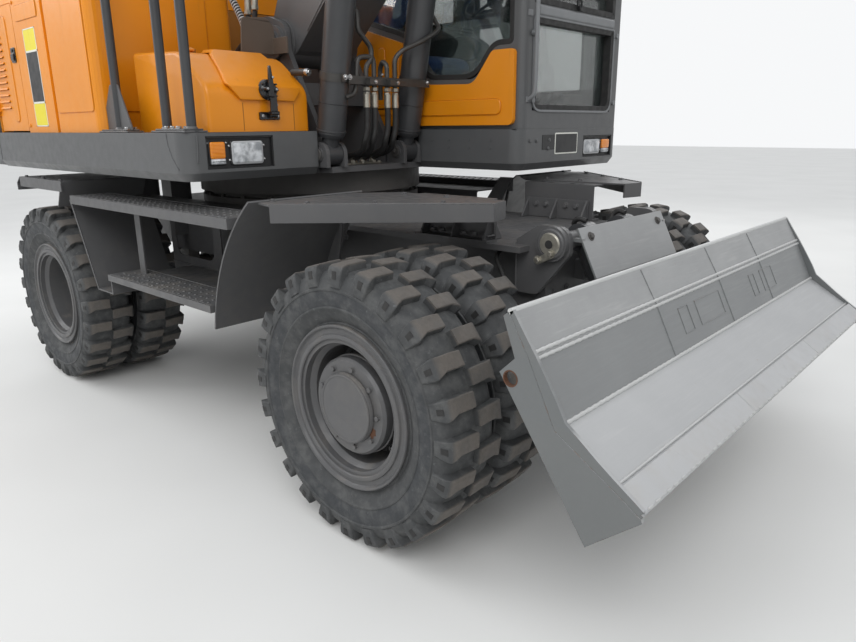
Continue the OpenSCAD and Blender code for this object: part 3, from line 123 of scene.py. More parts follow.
def make_stage():
    bpy.context.scene.view_settings.view_transform = "Standard"
    world = bpy.data.worlds.new("studio")
    bpy.context.scene.world = world
    world.use_nodes = True
    nt = world.node_tree
    nt.nodes.clear()
    out = nt.nodes.new("ShaderNodeOutputWorld")
    back = nt.nodes.new("ShaderNodeBackground")
    light = nt.nodes.new("ShaderNodeBackground")
    mix = nt.nodes.new("ShaderNodeMixShader")
    path = nt.nodes.new("ShaderNodeLightPath")
    back.inputs["Color"].default_value = (0.93, 0.94, 0.95, 1)
    back.inputs["Strength"].default_value = 1.0
    grad = nt.nodes.new("ShaderNodeTexCoord")
    split = nt.nodes.new("ShaderNodeSeparateXYZ")
    rise = nt.nodes.new("ShaderNodeMapRange")
    ramp = nt.nodes.new("ShaderNodeValToRGB")
    rise.inputs["From Min"].default_value = -0.25
    rise.inputs["From Max"].default_value = 1.0
    ramp.color_ramp.elements[0].color = (0.55, 0.55, 0.55, 1)
    ramp.color_ramp.elements[1].color = (0.92, 0.94, 0.97, 1)
    ramp.color_ramp.elements[0].position = 0.15
    nt.links.new(grad.outputs["Generated"], split.inputs[0])
    nt.links.new(split.outputs["Z"], rise.inputs["Value"])
    nt.links.new(rise.outputs[0], ramp.inputs[0])
    nt.links.new(ramp.outputs[0], light.inputs["Color"])
    light.inputs["Strength"].default_value = WORLD_STRENGTH
    nt.links.new(path.outputs["Is Camera Ray"], mix.inputs[0])
    nt.links.new(light.outputs[0], mix.inputs[1])
    nt.links.new(back.outputs[0], mix.inputs[2])
    nt.links.new(mix.outputs[0], out.inputs[0])
    bpy.ops.mesh.primitive_plane_add(size=FLOOR_SIZE, location=(0, 0, 0))
    floor = bpy.context.object
    floor.name = "floor"
    m = Mat("floor_pale", 0.7)
    m.colour(m.mix(m.noise(0.9, 2), srgb(226, 226, 224), srgb(214, 214, 212)))
    m.give(floor)
    for light in LIGHTS:
        area_light(*light)


# ---------------------------------------------------------------- materials


def srgb(r, g, b):
    def lin(c):
        c /= 255
        return c / 12.92 if c <= 0.04045 else ((c + 0.055) / 1.055) ** 2.4

    return (lin(r), lin(g), lin(b), 1.0)


class Mat:
    """A procedural material: helpers return the sockets that later helpers join."""

    def __init__(self, name, rough=0.5, metal=0.0, space="Object", **constants):
        self.m = bpy.data.materials.new(name)
        self.m.use_nodes = True
        self.t = self.m.node_tree
        self.t.nodes.clear()
        self.out = self.t.nodes.new("ShaderNodeOutputMaterial")
        self.b = self.t.nodes.new("ShaderNodeBsdfPrincipled")
        self.t.links.new(self.b.outputs[0], self.out.inputs[0])
        self.b.inputs["Roughness"].default_value = rough
        self.b.inputs["Metallic"].default_value = metal
        for key, value in constants.items():
            self.b.inputs[key.replace("_", " ")].default_value = value
        self.co = self.t.nodes.new("ShaderNodeTexCoord").outputs[space]

    def put(self, socket, value):
        if isinstance(value, bpy.types.NodeSocket):
            self.t.links.new(value, socket)
        else:
            socket.default_value = value

    def noise(self, scale, detail=4, rough=0.55, stretch=None):
        n = self.t.nodes.new("ShaderNodeTexNoise")
        co = self.co
        if stretch:
            mp = self.t.nodes.new("ShaderNodeMapping")
            mp.inputs["Scale"].default_value = stretch
            self.t.links.new(co, mp.inputs["Vector"])
            co = mp.outputs[0]
        self.t.links.new(co, n.inputs["Vector"])
        n.inputs["Scale"].default_value = scale
        n.inputs["Detail"].default_value = detail
        n.inputs["Roughness"].default_value = rough
        return n.outputs[0]

    def cells(self, scale):
        n = self.t.nodes.new("ShaderNodeTexVoronoi")
        self.t.links.new(self.co, n.inputs["Vector"])
        n.inputs["Scale"].default_value = scale
        return n.outputs[0]

    def wave(self, scale, axis="X", distort=0.0):
        n = self.t.nodes.new("ShaderNodeTexWave")
        n.bands_direction = axis
        self.t.links.new(self.co, n.inputs["Vector"])
        n.inputs["Scale"].default_value = scale
        n.inputs["Distortion"].default_value = distort
        n.inputs["Detail"].default_value = 1.0
        return n.outputs[1]

    def span(self, value, a, b, lo=0.0, hi=1.0):
        n = self.t.nodes.new("ShaderNodeMapRange")
        n.interpolation_type = "SMOOTHSTEP"
        self.put(n.inputs["Value"], value)
        n.inputs["From Min"].default_value = a
        n.inputs["From Max"].default_value = b
        n.inputs["To Min"].default_value = lo
        n.inputs["To Max"].default_value = hi
        return n.outputs[0]

    def maths(self, op, a, b=0.0):
        n = self.t.nodes.new("ShaderNodeMath")
        n.operation = op
        self.put(n.inputs[0], a)
        self.put(n.inputs[1], b)
        return n.outputs[0]

    def times(self, a, b):
        return self.maths("MULTIPLY", a, b)

    def plus(self, a, b):
        return self.maths("ADD", a, b)

    def mix(self, fac, a, b):
        n = self.t.nodes.new("ShaderNodeMix")
        n.data_type = "RGBA"
        self.put(n.inputs[0], fac)
        self.put(n.inputs[6], a)
        self.put(n.inputs[7], b)
        return n.outputs[2]

    def facing(self, name):
        g = self.t.nodes.new("ShaderNodeNewGeometry")
        s = self.t.nodes.new("ShaderNodeSeparateXYZ")
        self.t.links.new(g.outputs["Normal"], s.inputs[0])
        return s.outputs[name]

    def axis(self, name):
        s = self.t.nodes.new("ShaderNodeSeparateXYZ")
        self.t.links.new(self.co, s.inputs[0])
        return s.outputs[name]

    def radius(self):
        """Distance from the object's own Y axis."""
        x, z = self.axis("X"), self.axis("Z")
        return self.maths("SQRT", self.plus(self.times(x, x), self.times(z, z)))

    def colour(self, value):
        self.put(self.b.inputs["Base Color"], value)

    def roughness(self, value):
        self.put(self.b.inputs["Roughness"], value)

    def edges(self, radius):
        """Mask of edges, and the rounded normal."""
        bv = self.t.nodes.new("ShaderNodeBevel")
        bv.samples = 4
        bv.inputs["Radius"].default_value = radius
        g = self.t.nodes.new("ShaderNodeNewGeometry")
        d = self.t.nodes.new("ShaderNodeVectorMath")
        d.operation = "DOT_PRODUCT"
        self.t.links.new(bv.outputs[0], d.inputs[0])
        self.t.links.new(g.outputs["Normal"], d.inputs[1])
        return self.span(d.outputs["Value"], 0.97, 0.75, 0, 1), bv.outputs[0]

    def bump(self, height, strength=0.3, distance=0.002, after=None):
        n = self.t.nodes.new("ShaderNodeBump")
        n.inputs["Strength"].default_value = strength
        n.inputs["Distance"].default_value = distance
        self.put(n.inputs["Height"], height)
        if after is not None:
            self.t.links.new(after, n.inputs["Normal"])
        self.t.links.new(n.outputs[0], self.b.inputs["Normal"])
        return n.outputs[0]

    def give(self, o):
        o.data.materials.clear()
        o.data.materials.append(self.m)


def paint(name, base, rough, dust=0.25, wear=0.0, wear_colour=(120, 118, 114), coat=0.0):
    """Painted sheet metal with slight waviness, dust on what faces up, and worn edges."""
    m = Mat(name, rough, Coat_Weight=coat, Coat_Roughness=0.12)
    c = srgb(*base)
    lo = tuple(x * 0.86 for x in c[:3]) + (1,)
    hi = tuple(min(1, x * 1.07) for x in c[:3]) + (1,)
    col = m.mix(m.noise(2.3, 3), lo, hi)
    up = m.span(m.facing("Z"), 0.35, 0.95)
    patches = m.span(m.noise(9, 6, 0.65), 0.42, 0.72)
    low = m.span(m.axis("Z"), 1.3, 0.35, 0.25, 1.0)
    film = m.times(m.plus(m.times(up, 0.75), 0.25), patches)
    dusty = m.times(m.times(film, low), dust)
    col = m.mix(dusty, col, srgb(158, 148, 134))
    streaks = m.span(m.noise(14, 5, 0.6, stretch=(2.2, 2.2, 0.16)), 0.6, 0.78)
    col = m.mix(m.times(streaks, 0.12), col, srgb(60, 56, 50))
    mask, rounded = m.edges(0.0025)
    chips = m.span(m.noise(60, 4, 0.7), 0.5, 0.62)
    worn = m.times(m.times(mask, chips), wear)
    col = m.mix(worn, col, srgb(*wear_colour))
    m.colour(col)
    m.roughness(
        m.plus(m.span(m.noise(22, 5), 0.3, 0.75, rough - 0.06, rough + 0.1), m.times(dusty, 0.4))
    )
    first = m.bump(m.noise(1.6, 2), 0.25, 0.006, rounded)
    m.bump(m.noise(170, 2), 0.10, 0.0006, first)
    return m


# Paints: colour, roughness, and dust, wear and coat where they aren't the usual
PAINTS = {
    "body_orange": ((228, 140, 16), 0.36, {"dust": 0.06, "wear": 0.22, "coat": 0.1}),
    "body_orange_dark": ((150, 96, 30), 0.5, {}),
    "chassis_grey": ((86, 86, 87), 0.42, {"dust": 0.34, "wear": 0.55}),
    "skirt_grey": ((85, 86, 87), 0.36, {"dust": 0.2, "wear": 0.35}),
    "cast_grey": ((78, 76, 74), 0.55, {"dust": 0.45, "wear": 0.4, "wear_colour": (120, 84, 58)}),
    "rail_grey": ((60, 61, 63), 0.36, {"dust": 0.25, "wear": 0.4}),
    "trim_grey": ((120, 122, 124), 0.45, {"dust": 0.15}),
    "bracket_brown": ((98, 86, 76), 0.5, {"dust": 0.3, "wear": 0.3}),
    "black_gloss": ((22, 22, 24), 0.25, {"dust": 0.1, "coat": 0.3}),
    "lamp_rim": ((176, 178, 180), 0.3, {"dust": 0.15}),
    "headliner": ((150, 150, 146), 0.85, {"dust": 0.05}),
    "spiral_white": ((196, 197, 198), 0.45, {"dust": 0.3}),
    "stripe_yellow": ((228, 212, 38), 0.4, {"dust": 0.05}),
    "stripe_black": ((24, 24, 26), 0.35, {"dust": 0.12}),
    "stripe_white": ((222, 222, 214), 0.4, {"dust": 0.1}),
    "weld_pale": ((186, 187, 186), 0.4, {"dust": 0.1, "wear": 0.6, "wear_colour": (120, 104, 88)}),
    "blade_edge_paint": ((178, 179, 180), 0.42, {"dust": 0.2, "wear": 0.9, "wear_colour": (120, 92, 70)}),
}
# Two-tone materials: roughness, metal, pattern, dark and light, gloss as (scale, detail, from, to),
# bump as (pattern, strength, distance), where a pattern of None is the first one, and constants
TWO_TONE = {
    "rod_chrome": (0.12, 1.0, ("noise", 40, 4), (196, 197, 199), (226, 227, 228), (60, 3, 0.08, 0.2)),
    "steel_bright": (0.28, 1.0, ("noise", 90, 4), (150, 150, 150), (205, 205, 205), (80, 3, 0.2, 0.42)),
    "pipe_steel": (0.45, 0.6, ("noise", 20, 5), (66, 65, 64), (92, 90, 87), (40, 4, 0.35, 0.6)),
    "zinc": (0.34, 0.85, ("noise", 70, 5), (150, 146, 136), (196, 192, 180), (90, 3, 0.28, 0.5)),
    "mirror_glass": (0.03, 1.0, ("noise", 3, 2), (205, 210, 214), (226, 230, 233)),
    "black_plastic": (
        0.45, 0.0, ("noise", 12, 4), (24, 24, 25), (40, 40, 41), (40, 3, 0.36, 0.55),
        (("cells", 700), 0.2, 0.0004),
    ),
    "black_rubber": (
        0.62, 0.0, ("noise", 18, 5), (26, 26, 27), (46, 45, 44), (30, 4, 0.5, 0.75),
        (("wave", 260, "Z", 2.0), 0.12, 0.0006),
    ),
    "rust": (
        0.8, 0.0, ("noise", 60, 5, 0.7), (70, 48, 36), (104, 68, 46), None, (("noise", 120, 4), 0.4, 0.001),
    ),
    "amber_lens": (
        0.12, 0.0, ("wave", 55, "Z"), (214, 110, 16), (246, 158, 40), None, (None, 0.5, 0.002),
        {"Coat_Weight": 0.5},
    ),
    "red_lens": (
        0.12, 0.0, ("wave", 55, "Z"), (120, 12, 10), (176, 26, 20), None, (None, 0.5, 0.002),
        {"Coat_Weight": 0.5},
    ),
    "chair_cloth": (
        0.85, 0.0, ("wave", 420, "X", 1.5), (30, 66, 128), (52, 98, 168), None, (None, 0.35, 0.0008),
        {"Sheen_Weight": 0.4},
    ),
}


def two_tone(name, rough, metal, pattern, dark, light, gloss=None, bump=None, constants=None):
    m = Mat(name, rough, metal, **(constants or {}))
    field = getattr(m, pattern[0])(*pattern[1:])
    m.colour(m.mix(field, srgb(*dark), srgb(*light)))
    if gloss:
        m.roughness(m.span(m.noise(*gloss[:2]), 0.3, 0.7, *gloss[2:]))
    if bump:
        relief, strength, distance = bump
        m.bump(getattr(m, relief[0])(*relief[1:]) if relief else field, strength, distance)
    return m


def make_materials():
    mats = {name: paint(name, base, rough, **rest) for name, (base, rough, rest) in PAINTS.items()}
    mats |= {name: two_tone(name, *rest) for name, rest in TWO_TONE.items()}

    m = Mat("blade_primer", 0.42, 0.35)
    cloud = m.noise(3.2, 5, 0.6)
    col = m.mix(cloud, srgb(140, 141, 142), srgb(171, 172, 172))
    rub = m.noise(5, 6, 0.7, stretch=(9, 0.5, 9))
    col = m.mix(m.span(rub, 0.5, 0.75, 0, 0.5), col, srgb(188, 188, 187))
    spots = m.span(m.noise(26, 6, 0.72), 0.66, 0.74)
    col = m.mix(m.times(spots, 0.75), col, srgb(141, 101, 68))
    mask, rounded = m.edges(0.003)
    edge_rust = m.times(mask, m.span(m.noise(30, 5, 0.7), 0.5, 0.65))
    # Faces turned to the sides, the side plates, are darkened by their facing: painted shade
    col = m.mix(m.times(m.span(m.maths("ABSOLUTE", m.facing("Y")), 0.6, 0.9), 0.8), col, srgb(98, 101, 101))
    z = m.axis("Z")
    # Band of the face between 0.735 and 0.925 m high is darkened: painted shade of the overhung band
    painted_shade_band = m.times(m.span(z, 0.925, 0.90), m.span(z, 0.735, 0.745))
    col = m.mix(m.times(painted_shade_band, 0.55), col, srgb(112, 115, 116))
    # Lower band, below about 0.73 m, is lightened where it faces up: painted light
    low = m.times(m.span(z, 0.74, 0.72), m.span(m.facing("Z"), 0.3, 0.7))
    col = m.mix(m.times(low, 0.45), col, srgb(196, 197, 198))
    col = m.mix(m.times(edge_rust, 0.7), col, srgb(128, 88, 58))
    m.colour(col)
    m.roughness(m.span(rub, 0.3, 0.7, 0.34, 0.56))
    first = m.bump(m.noise(2.0, 3), 0.3, 0.006, rounded)
    m.bump(m.noise(150, 3), 0.15, 0.0006, first)
    mats["blade_primer"] = m

    m = Mat("tyre_rubber", 0.74)
    r = m.radius()
    base = m.mix(m.noise(7, 5), srgb(52, 54, 55), srgb(70, 71, 72))
    band = m.times(m.span(r, 0.378, 0.384), m.span(r, 0.441, 0.436))
    base = m.mix(m.times(band, 0.6), base, srgb(47, 50, 54))
    dust = m.span(m.noise(16, 6, 0.7), 0.42, 0.68)
    base = m.mix(m.times(dust, 0.28), base, srgb(112, 112, 110))
    scuff = m.span(m.noise(44, 6, 0.75), 0.6, 0.7)
    base = m.mix(m.times(scuff, 0.3), base, srgb(132, 134, 135))
    top = m.span(r, 0.522, 0.532)
    top = m.times(top, m.span(m.noise(11, 4), 0.25, 0.6, 0.55, 1.0))
    base = m.mix(top, base, m.mix(m.noise(90, 4, 0.7), srgb(82, 78, 74), srgb(106, 100, 94)))
    m.colour(base)
    m.roughness(m.span(m.noise(30, 4), 0.3, 0.7, 0.60, 0.84))
    first = m.bump(m.noise(38, 5), 0.25, 0.003)
    m.bump(m.noise(420, 2), 0.3, 0.0006, first)
    mats["tyre_rubber"] = m

    m = Mat("pane_glass", 0.04, Transmission_Weight=0.9, IOR=1.45, Alpha=0.42)
    m.colour(m.mix(m.noise(2, 2), srgb(96, 112, 108), srgb(120, 134, 130)))
    m.roughness(m.span(m.noise(9, 5, 0.7), 0.45, 0.8, 0.02, 0.16))
    mats["pane_glass"] = m

    m = Mat("lamp_lens", 0.08, Coat_Weight=0.5)
    # The flutes are real and also bump the lens; their grey tones and the pale patches over them are painted
    # reflection of the reflector behind the clear lens
    ribs = m.wave(70, "Y")
    painted_glints = m.span(m.noise(16, 3, 0.6), 0.4, 0.65)
    m.colour(m.mix(painted_glints, m.mix(ribs, srgb(118, 122, 126), srgb(176, 180, 184)), srgb(226, 229, 232)))
    m.bump(ribs, 0.5, 0.002)
    m.roughness(m.span(m.noise(50, 2), 0.3, 0.7, 0.06, 0.14))
    mats["lamp_lens"] = m

    m = Mat("grille_dark", 0.6)
    holes = m.cells(260)
    m.colour(m.mix(m.span(holes, 0.25, 0.5), srgb(6, 6, 6), srgb(40, 40, 41)))
    m.bump(holes, 0.4, 0.002)
    mats["grille_dark"] = m
    return mats


# ---------------------------------------------------------------- mesh building


def smooth_path(points, n=8):
    """Catmull-Rom curve through the points."""
    pts = [Vector(p) for p in points]
    ends = [pts[0] * 2 - pts[1], *pts, pts[-1] * 2 - pts[-2]]
    out = []
    for i in range(1, len(ends) - 2):
        a, b, c, d = ends[i - 1 : i + 3]
        for k in range(n):
            t = k / n
            out.append(
                0.5 * ((2 * b) + (c - a) * t + (2 * a - 5 * b + 4 * c - d) * t * t
                    + (3 * b - a - 3 * c + d) * t**3)
            )
    out.append(pts[-1])
    return out


class Build:
    """Gathers shapes into one mesh. Lengths are in metres in the row frame."""

    def __init__(self):
        self.v, self.f = [], []

    def add(self, verts, faces):
        base = len(self.v)
        self.v += [Vector(p) for p in verts]
        self.f += [[i + base for i in f] for f in faces]
        return self

    def rings(self, rings, caps=(True, True)):
        n = len(rings[0])
        verts = [p for ring in rings for p in ring]
        faces = []
        count = len(rings)
        for i in range(count - 1):
            a, b = i * n, (i + 1) * n
            for k in range(n):
                faces.append([a + k, a + (k + 1) % n, b + (k + 1) % n, b + k])
        if caps[0]:
            faces.append(list(range(n))[::-1])
        if caps[1]:
            faces.append([(count - 1) * n + k for k in range(n)])
        return self.add(verts, faces)

    def tube(self, points, r, n=12, radii=None, caps=True):
        pts = [Vector(p) for p in points]
        rings = []
        side = None
        for i, p in enumerate(pts):
            d = (pts[min(i + 1, len(pts) - 1)] - pts[max(i - 1, 0)]).normalized()
            if side is None:
                side = d.orthogonal().normalized()
            side = (side - d * side.dot(d)).normalized()
            up = d.cross(side)
            rr = radii[i] if radii else r
            rings.append(
                [p + side * (rr * math.cos(2 * math.pi * k / n)) + up * (rr * math.sin(2 * math.pi * k / n))
                    for k in range(n)]
            )
        return self.rings(rings, (caps, caps))

    def cyl(self, a, b, r, n=24, r2=None, chamfer=0.0):
        a, b = Vector(a), Vector(b)
        d = (b - a).normalized()
        r2 = r if r2 is None else r2
        if chamfer:
            pts = [a, a + d * chamfer, b - d * chamfer, b]
            return self.tube(pts, r, n, [r - chamfer, r, r2, r2 - chamfer])
        return self.tube([a, b], r, n, [r, r2])

    def revolve(self, profile, origin, axis, n=48):
        """profile: (radius, along axis) points, joined in order; closed if the last is the first."""
        origin, axis = Vector(origin), Vector(axis).normalized()
        side = axis.orthogonal().normalized()
        up = axis.cross(side)
        rings = []
        for k in range(n):
            a = 2 * math.pi * k / n
            out = side * math.cos(a) + up * math.sin(a)
            rings.append([origin + out * r + axis * h for r, h in profile])
        m = len(profile)
        verts = [p for ring in rings for p in ring]
        faces = []
        for k in range(n):
            a, b = k * m, ((k + 1) % n) * m
            for i in range(m - 1):
                faces.append([a + i, a + i + 1, b + i + 1, b + i])
        return self.add(verts, faces)

    def prism(self, outline, axis, a, b, chamfer=0.0):
        """outline: points in the other two axes, in row-frame metres, drawn from a to b along axis."""
        order = {"x": lambda h, p: Vector((h, p[0], p[1])), "y": lambda h, p: Vector((p[0], h, p[1])),
            "z": lambda h, p: Vector((p[0], p[1], h))}[axis]
        if not chamfer:
            return self.rings([[order(h, p) for p in outline] for h in (a, b)])
        inner = inset(outline, chamfer)
        s = chamfer if b > a else -chamfer
        return self.rings(
            [
                [order(a, p) for p in inner],
                [order(a + s, p) for p in outline],
                [order(b - s, p) for p in outline],
                [order(b, p) for p in inner],
            ]
        )

    def box(self, lo, hi, chamfer=0.0):
        """lo and hi are corners in millimetres from the slewing axis."""
        lo, hi = P(*lo), P(*hi)
        outline = [(lo.x, lo.y), (hi.x, lo.y), (hi.x, hi.y), (lo.x, hi.y)]
        return self.prism(outline, "z", lo.z, hi.z, chamfer / 1000)

    def bolt(self, at, axis, r=0.011, h=0.009, washer=True):
        """Hexagon head on a washer, standing at a point."""
        at, axis = Vector(at), Vector(axis).normalized()
        if washer:
            self.cyl(at - axis * 0.001, at + axis * 0.0022, r * 1.45, 16)
        base = at + axis * 0.002
        side = axis.orthogonal().normalized()
        up = axis.cross(side)
        spin = random.uniform(0, 1)

        def ring(radius, height):
            return [
                base + axis * height + side * (radius * math.cos(math.pi / 3 * k + spin))
                    + up * (radius * math.sin(math.pi / 3 * k + spin))
                for k in range(6)
            ]

        return self.rings([ring(r, -0.001), ring(r, h * 0.82), ring(r * 0.86, h)])

    def make(self, name, body, mat, slot=None, sharp=32, at=None, replaces=()):
        mesh = bpy.data.meshes.new(name)
        origin = Vector(at) if at is not None else Vector((0, 0, 0))
        mesh.from_pydata([p - origin for p in self.v], [], self.f)
        bm = bmesh.new()
        bm.from_mesh(mesh)
        bmesh.ops.recalc_face_normals(bm, faces=bm.faces)
        bm.to_mesh(mesh)
        bm.free()
        mesh.polygons.foreach_set("use_smooth", [True] * len(mesh.polygons))
        mesh.set_sharp_from_angle(angle=math.radians(sharp))
        o = bpy.data.objects.new(name, mesh)
        bpy.context.scene.collection.objects.link(o)
        o.location = origin
        mesh.materials.append(MATS[mat].m)
        if body:
            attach(o, body)
        if replaces:
            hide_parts(*replaces)
        return o


def inset(outline, d):
    """The outline with every side moved inwards by d, for either sense of turning."""
    n = len(outline)
    area = sum(outline[i][0] * outline[(i + 1) % n][1] - outline[(i + 1) % n][0] * outline[i][1]
        for i in range(n))
    s = 1 if area > 0 else -1
    out = []
    for i in range(n):
        a, b, c = Vector(outline[i - 1]), Vector(outline[i]), Vector(outline[(i + 1) % n])
        u, v = (b - a).normalized(), (c - b).normalized()
        nu, nv = Vector((-u.y, u.x)) * s, Vector((-v.y, v.x)) * s
        k = 1 + nu.dot(nv)
        out.append(tuple(b + (nu + nv) * (d / max(k, 0.3))))
    return out


def rounded(points, r):
    """The outline with its corners rounded to radius r."""
    n = 4
    out = []
    m = len(points)
    for i in range(m):
        a, b, c = Vector(points[i - 1]), Vector(points[i]), Vector(points[(i + 1) % m])
        u, v = (a - b).normalized(), (c - b).normalized()
        reach = min(r, (a - b).length * 0.45, (c - b).length * 0.45)
        for k in range(n + 1):
            t = k / n
            out.append(tuple((b + u * reach) * (1 - t) ** 2 + b * 2 * t * (1 - t) + (b + v * reach) * t**2))
    return out


MATS = make_materials()
make_camera()
make_stage()

# ---------------------------------------------------------------- finish of the CAD nodes

NODE_FINISH = {
    "body_orange": [
        "hood", "fuel_tank", "side_panels", "toolbox", "toolbox_lid", "side_door_right",
        "side_door_left", "cab_lower_panels",
    ],
    "skirt_grey": ["deck_skirts", "cab_frame", "cab_door", "counterweight"],
    "blade_primer": ["blade_mouldboard", "blade_cover"],
    "rail_grey": ["handrails", "boom_barrels", "arm_barrel", "bucket_barrel", "blade_barrels"],
    "cast_grey": [
        "front_axle", "rear_axle", "knuckle_right", "knuckle_left", "driveline", "engine_block",
        "slew_ring_lower", "slew_ring_upper",
    ],
    "rod_chrome": ["blade_rods", "boom_rods", "arm_rod", "bucket_rod", "tie_rod"],
    "pane_glass": ["cab_panes"],
    "black_plastic": ["mirrors", "exhaust", "cab_controls", "operator_chair", "headlamps"],
    "black_rubber": ["boom_hoses"],
    "tyre_rubber": ["tyres_front_right", "tyres_front_left", "tyres_rear_right", "tyres_rear_left"],
}
finish_of = {n: k for k, names in NODE_FINISH.items() for n in names}
for node_name, node in NODES.items():
    MATS[finish_of.get(node_name, "chassis_grey")].give(node)

# ---------------------------------------------------------------- tyres

AXLE = {"front": 1660.0, "rear": -1060.0}
TYRE_Y = (1106.0, 776.0)
LUGS = 24
TREAD_R = 0.535

# Section of the carcass: radius and distance from the tyre's middle, half of it
CARCASS = [
    (0.2585, 0.092), (0.285, 0.094), (0.307, 0.097), (0.311, 0.1015), (0.316, 0.1015), (0.320, 0.098),
    (0.335, 0.107), (0.352, 0.1175), (0.371, 0.1255), (0.374, 0.1285), (0.379, 0.1290), (0.382, 0.1262),
    (0.402, 0.1322),
    (0.420, 0.1345), (0.438, 0.1345), (0.441, 0.1385), (0.447, 0.1388), (0.450, 0.1345), (0.466, 0.1305),
    (0.482, 0.1240),
    (0.494, 0.1140), (0.501, 0.0980), (0.505, 0.0700), (0.507, 0.0300), (0.5075, 0.0),
]
# Stations of a lug from the sidewall to the middle: outer radius and place, base radius and
# place, shift round the tyre, and half width, metres
LUG = [
    (0.4555, 0.1384, 0.4500, 0.1300, 0.000, 0.0300),
    (0.4700, 0.1388, 0.4600, 0.1270, 0.000, 0.0320),
    (0.4950, 0.1378, 0.4750, 0.1200, 0.000, 0.0350),
    (0.5140, 0.1345, 0.4850, 0.1120, 0.000, 0.0370),
    (0.5255, 0.1270, 0.4950, 0.1050, -0.001, 0.0370),
    (0.5310, 0.1150, 0.4980, 0.0980, -0.004, 0.0335),
    (0.5325, 0.0900, 0.4990, 0.0850, -0.0085, 0.0275),
    (0.5338, 0.0600, 0.5000, 0.0600, -0.0085, 0.0280),
    (0.5346, 0.0300, 0.5000, 0.0300, -0.0075, 0.0280),
    (0.5350, 0.0060, 0.5000, 0.0060, -0.0065, 0.0270),
]


def tyre_shapes(build, notch_shade, centre):
    """One tyre about the Y axis through centre: carcass, lugs, and dark plates on the lugs' sides, painted
    shade where the lugs are notched.
    """
    whole = CARCASS + [(r, -v) for r, v in CARCASS[-2::-1]]
    closed = whole + [(0.262, -0.070), (0.262, 0.070), whole[0]]
    build.revolve(closed, centre, (0, 1, 0), 120)

    def spot(r, v, u):
        a = u / TREAD_R
        return centre + Vector((r * math.sin(a), v, r * math.cos(a)))

    pitch = 2 * math.pi * TREAD_R / LUGS
    for side in (-1, 1):
        for k in range(LUGS):
            u0 = pitch * (k + (0.5 if side > 0 else 0))
            rings = []
            for ro, vo, rb, vb, shift, half in LUG:
                u = u0 + shift
                c = 0.0025
                span = [
                    (rb, vb, -half - 0.004),
                    (ro - c, vo - (c if vo > 0.13 else 0), -half),
                    (ro, vo, -half + c * 1.4),
                    (ro, vo, half - c * 1.4),
                    (ro - c, vo - (c if vo > 0.13 else 0), half),
                    (rb, vb, half + 0.004),
                ]
                rings.append([spot(r, side * v, u + w) for r, v, w in span])
            build.rings(rings)
            # Dark plate on the lug's side: painted shade standing for the hollow where the lug is notched
            w0, w1, r0, r1 = u0 - 0.011, u0 + 0.011, 0.484, 0.512
            notch_shade.rings([
                [spot(r, side * (v + dv), w) for r, v, w in ((r0, 0.1385, w0), (r0, 0.1385, w1),
                    (r1, 0.1352, w1), (r1, 0.1352, w0))]
                for dv in (-0.004, 0.0012)
            ])


for end, x in AXLE.items():
    for side_name, side in (("right", -1), ("left", 1)):
        b, notch_shades = Build(), Build()
        hub = P(x, side * 941, AXLE_Z)
        for y in TYRE_Y:
            tyre_shapes(b, notch_shades, P(x, side * y, AXLE_Z))
        # Dark plates on the lugs' sides: painted shade of the lugs' notched hollows
        notch_shades.make(f"tread_notch_shade_{end}_{side_name}", f"wheels_{end}_{side_name}", "black_rubber", at=hub)
        b.make(
            f"tread_{end}_{side_name}", f"wheels_{end}_{side_name}", "tyre_rubber", at=hub,
            replaces=[f"tyres_{end}_{side_name}"], sharp=28,
        )

# ---------------------------------------------------------------- helpers in millimetres


def arcs(table, n=5):
    """Outline from (x, y) or (x, y, reach) rows; a corner with a reach is rounded."""
    out = []
    m = len(table)
    for i in range(m):
        a, b, c = (Vector(table[k % m][:2]) for k in (i - 1, i, i + 1))
        reach = table[i][2] if len(table[i]) > 2 else 0
        if not reach:
            out.append(tuple(b))
            continue
        u, v = (a - b).normalized(), (c - b).normalized()
        for k in range(n + 1):
            t = k / n
            out.append(tuple((b + u * reach) * (1 - t) ** 2 + b * 2 * t * (1 - t) + (b + v * reach) * t**2))
    return out


def tile(x0, x1, y0, y1, reach, n=5):
    """Rectangle with rounded corners."""
    return arcs([(x0, y0, reach), (x1, y0, reach), (x1, y1, reach), (x0, y1, reach)], n)


def corners(points, reach):
    """Polyline in space with its inner corners rounded."""
    n = 5
    pts = [Vector(p) for p in points]
    out = [pts[0]]
    for a, b, c in zip(pts, pts[1:], pts[2:]):
        r = min(reach, (a - b).length * 0.48, (c - b).length * 0.48)
        p, q = b + (a - b).normalized() * r, b + (c - b).normalized() * r
        out += [p * (1 - t) ** 2 + b * 2 * t * (1 - t) + q * t**2 for t in (k / n for k in range(n + 1))]
    return out + [pts[-1]]


